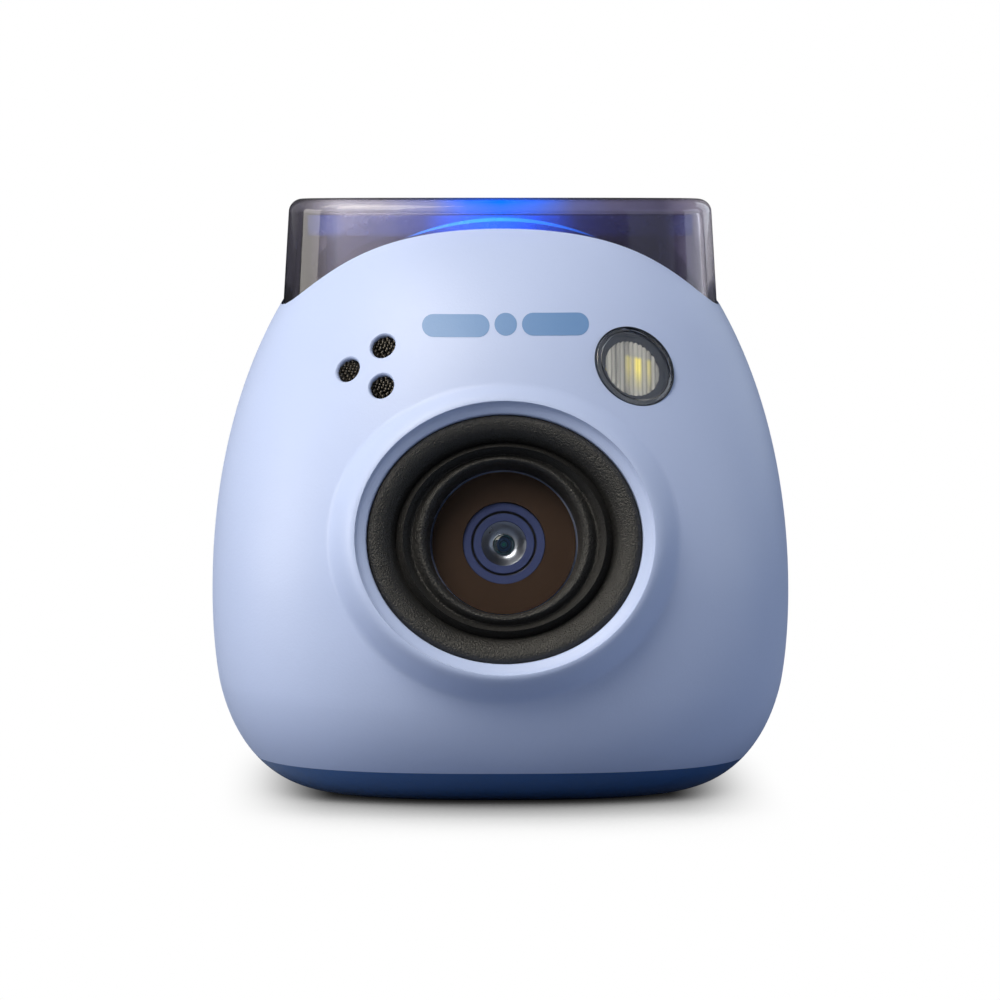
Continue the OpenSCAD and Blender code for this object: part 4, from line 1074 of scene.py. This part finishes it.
# ---------------------------------------------------------------- CAD pieces keep their shape and get their finish
FINISH = {
    "light_guide": GUIDE_LIT, "led_board": BOARD, "status_leds": LED_WHITE, "cover_glass": GLASS, "lens_mask": MASK,
    "middle_element": LENS_GLASS, "rear_element": LENS_GLASS, "aperture_stop": BLACK, "lens_holder": BLACK,
    "infrared_filter": FILTER, "image_sensor": SILICON, "sensor_board": BOARD, "sensor_flex": FLEX,
    "flash_reflector": SILVER, "flash_led": LED_YELLOW, "flash_board": BOARD,
    "speaker": STEEL, "speaker_gasket": FOAM, "chassis": CHASSIS, "battery": CELL,
    "battery_pad": FOAM, "battery_plug": NYLON, "battery_lead": WIRE_RED, "speaker_lead": WIRE_BLACK,
    "flash_lead": WIRE_BLACK, "led_lead": WIRE_BLACK, "main_board": BOARD, "board_chips": CHIP, "shield_can": STEEL,
    "usb_connector": STEEL, "card_socket": STEEL, "port_frame": BLACK, "shutter_button": BODY, "button_trim": CHROME,
    "shutter_switch": STEEL, "shutter_plunger": BLACK, "power_button": BASE,
    "power_switch": STEEL, "power_plunger": NYLON, "mode_slider": SLIDER, "mode_lever": BLACK, "mode_switch": STEEL,
    "base_board": BOARD, "tripod_socket": STEEL, "board_screws": SCREW, "chassis_screws": SCREW, "base_screws": SCREW,
}
for name, mat in FINISH.items():
    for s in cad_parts[name].material_slots:
        s.material = mat

# ---------------------------------------------------------------- floor, light and camera
scene = bpy.context.scene
scene.view_settings.view_transform = "Standard"
FLOOR_FELT, WORLD_FELT = 0.22, 0.04
SHADOW_REACH = 0.05
SHADOW = [(0.0, 0.005), (0.134, 0.045), (0.255, 0.138), (0.366, 0.3), (0.422, 0.38), (0.59, 0.56), (0.71, 0.74),
          (0.764, 0.86), (0.805, 0.94), (0.86, 1.0)]
SIDE_LIGHT = (12.0, 21.0)


def seen_directly(nt):
    """1 for what the camera sees, straight or through clear plastic, and 0 for light that bounces."""
    path = nt.nodes.new("ShaderNodeLightPath")
    most = nt.nodes.new("ShaderNodeMath")
    most.operation = "MAXIMUM"
    nt.links.new(path.outputs["Is Camera Ray"], most.inputs[0])
    nt.links.new(path.outputs["Is Transmission Ray"], most.inputs[1])
    return most.outputs[0]


def studio_floor():
    """A white floor with a soft shadow where the object stands."""
    bpy.ops.mesh.primitive_plane_add(size=30, location=(0, 0, 0))
    floor = bpy.context.object
    floor.name = "floor"
    m = bpy.data.materials.new("floor")
    m.use_nodes = True
    nt = m.node_tree
    nt.nodes.remove(nt.nodes["Principled BSDF"])
    occlusion = nt.nodes.new("ShaderNodeAmbientOcclusion")
    occlusion.samples = 16
    occlusion.inputs["Distance"].default_value = SHADOW_REACH
    seen = nt.nodes.new("ShaderNodeEmission")
    across = nt.nodes.new("ShaderNodeMath")
    across.operation = "ABSOLUTE"
    nt.links.new(axis_reading(nt, (0, 0, 0), (1, 0, 0), 0, 1, clamp=False), across.inputs[0])
    side = nt.nodes.new("ShaderNodeMapRange")
    side.interpolation_type = "SMOOTHSTEP"
    side.inputs["From Min"].default_value, side.inputs["From Max"].default_value = SIDE_LIGHT
    nt.links.new(across.outputs[0], side.inputs["Value"])
    shade = ramp_of(nt, occlusion.outputs["AO"], SHADOW)
    nt.links.new(blend_colors(nt, "MIX", side.outputs["Result"], shade, (1, 1, 1, 1)), seen.inputs["Color"])
    felt = nt.nodes.new("ShaderNodeBsdfDiffuse")
    felt.inputs["Color"].default_value = (0.85 * FLOOR_FELT, FLOOR_FELT, 1.3 * FLOOR_FELT, 1)
    mix = nt.nodes.new("ShaderNodeMixShader")
    nt.links.new(seen_directly(nt), mix.inputs["Fac"])
    nt.links.new(felt.outputs[0], mix.inputs[1])
    nt.links.new(seen.outputs[0], mix.inputs[2])
    nt.links.new(mix.outputs[0], nt.nodes["Material Output"].inputs["Surface"])
    floor.data.materials.append(m)


def studio_world():
    world = bpy.data.worlds.new("studio")
    scene.world = world
    world.use_nodes = True
    nt = world.node_tree
    back = nt.nodes["Background"]
    span = nt.nodes.new("ShaderNodeMapRange")
    span.inputs["To Min"].default_value = WORLD_FELT
    span.inputs["To Max"].default_value = 1.0
    nt.links.new(seen_directly(nt), span.inputs["Value"])
    nt.links.new(span.outputs["Result"], back.inputs["Strength"])
    back.inputs["Color"].default_value = (1, 1, 1, 1)


def softbox(name, watts, azimuth, height, color=(1, 1, 1)):
    """A square light that faces the object, placed by its angle from the front and above the floor."""
    data = bpy.data.lights.new(name, "AREA")
    data.energy, data.size, data.color = watts, BOX_SIZE, color
    obj = bpy.data.objects.new(name, data)
    scene.collection.objects.link(obj)
    a, e = math.radians(azimuth), math.radians(height)
    middle = Vector((0, 0, 0.02))
    obj.location = middle + Vector((math.sin(a) * math.cos(e), -math.cos(a) * math.cos(e), math.sin(e))) * BOX_AWAY
    obj.rotation_euler = (middle - obj.location).to_track_quat("-Z", "Y").to_euler()


studio_floor()
studio_world()
BOX_SIZE, BOX_AWAY = 0.35, 0.6
WARM, MILD, COOL = (1, 0.94, 0.81), (1, 0.96, 0.87), (0.83, 0.91, 1)
softbox("key", 2.45, -35, 50, color=WARM)
softbox("left", 1.95, -85, 8, color=MILD)
softbox("upper_left", 1.45, -60, 60, color=WARM)
softbox("front", 0.2, -32, 12, color=MILD)
softbox("front_right", 0.25, 42, 14, color=COOL)
softbox("right", 0.85, 90, 8, color=COOL)
softbox("right_back", 0.55, 135, 20, color=COOL)
softbox("left_back", 0.1, -135, 20)

# mm, and pixels of the 1000 by 1000 image; LEVEL_ROW is the row level with the camera
DISTANCE, EYE, PIXELS_PER_MM, IMAGE, LEVEL_ROW = 440.0, 48.0, 13.57, 1000, 131.2
YAW = math.radians(-1.0)
view_mm = IMAGE / PIXELS_PER_MM
look_z = EYE - (IMAGE / 2 - LEVEL_ROW) / PIXELS_PER_MM
cam_data = bpy.data.cameras.new("camera")
cam_data.sensor_width = 36
cam_data.lens = 36 * math.hypot(DISTANCE, EYE - look_z) / view_mm
cam_data.clip_start = 0.01
cam = bpy.data.objects.new("camera", cam_data)
scene.collection.objects.link(cam)
cam.location = (DISTANCE * math.sin(YAW) * MM, (MID - DISTANCE * math.cos(YAW)) * MM, EYE * MM)
cam.rotation_euler = (Vector((0, MID * MM, look_z * MM)) - cam.location).to_track_quat("-Z", "Y").to_euler()
scene.camera = cam
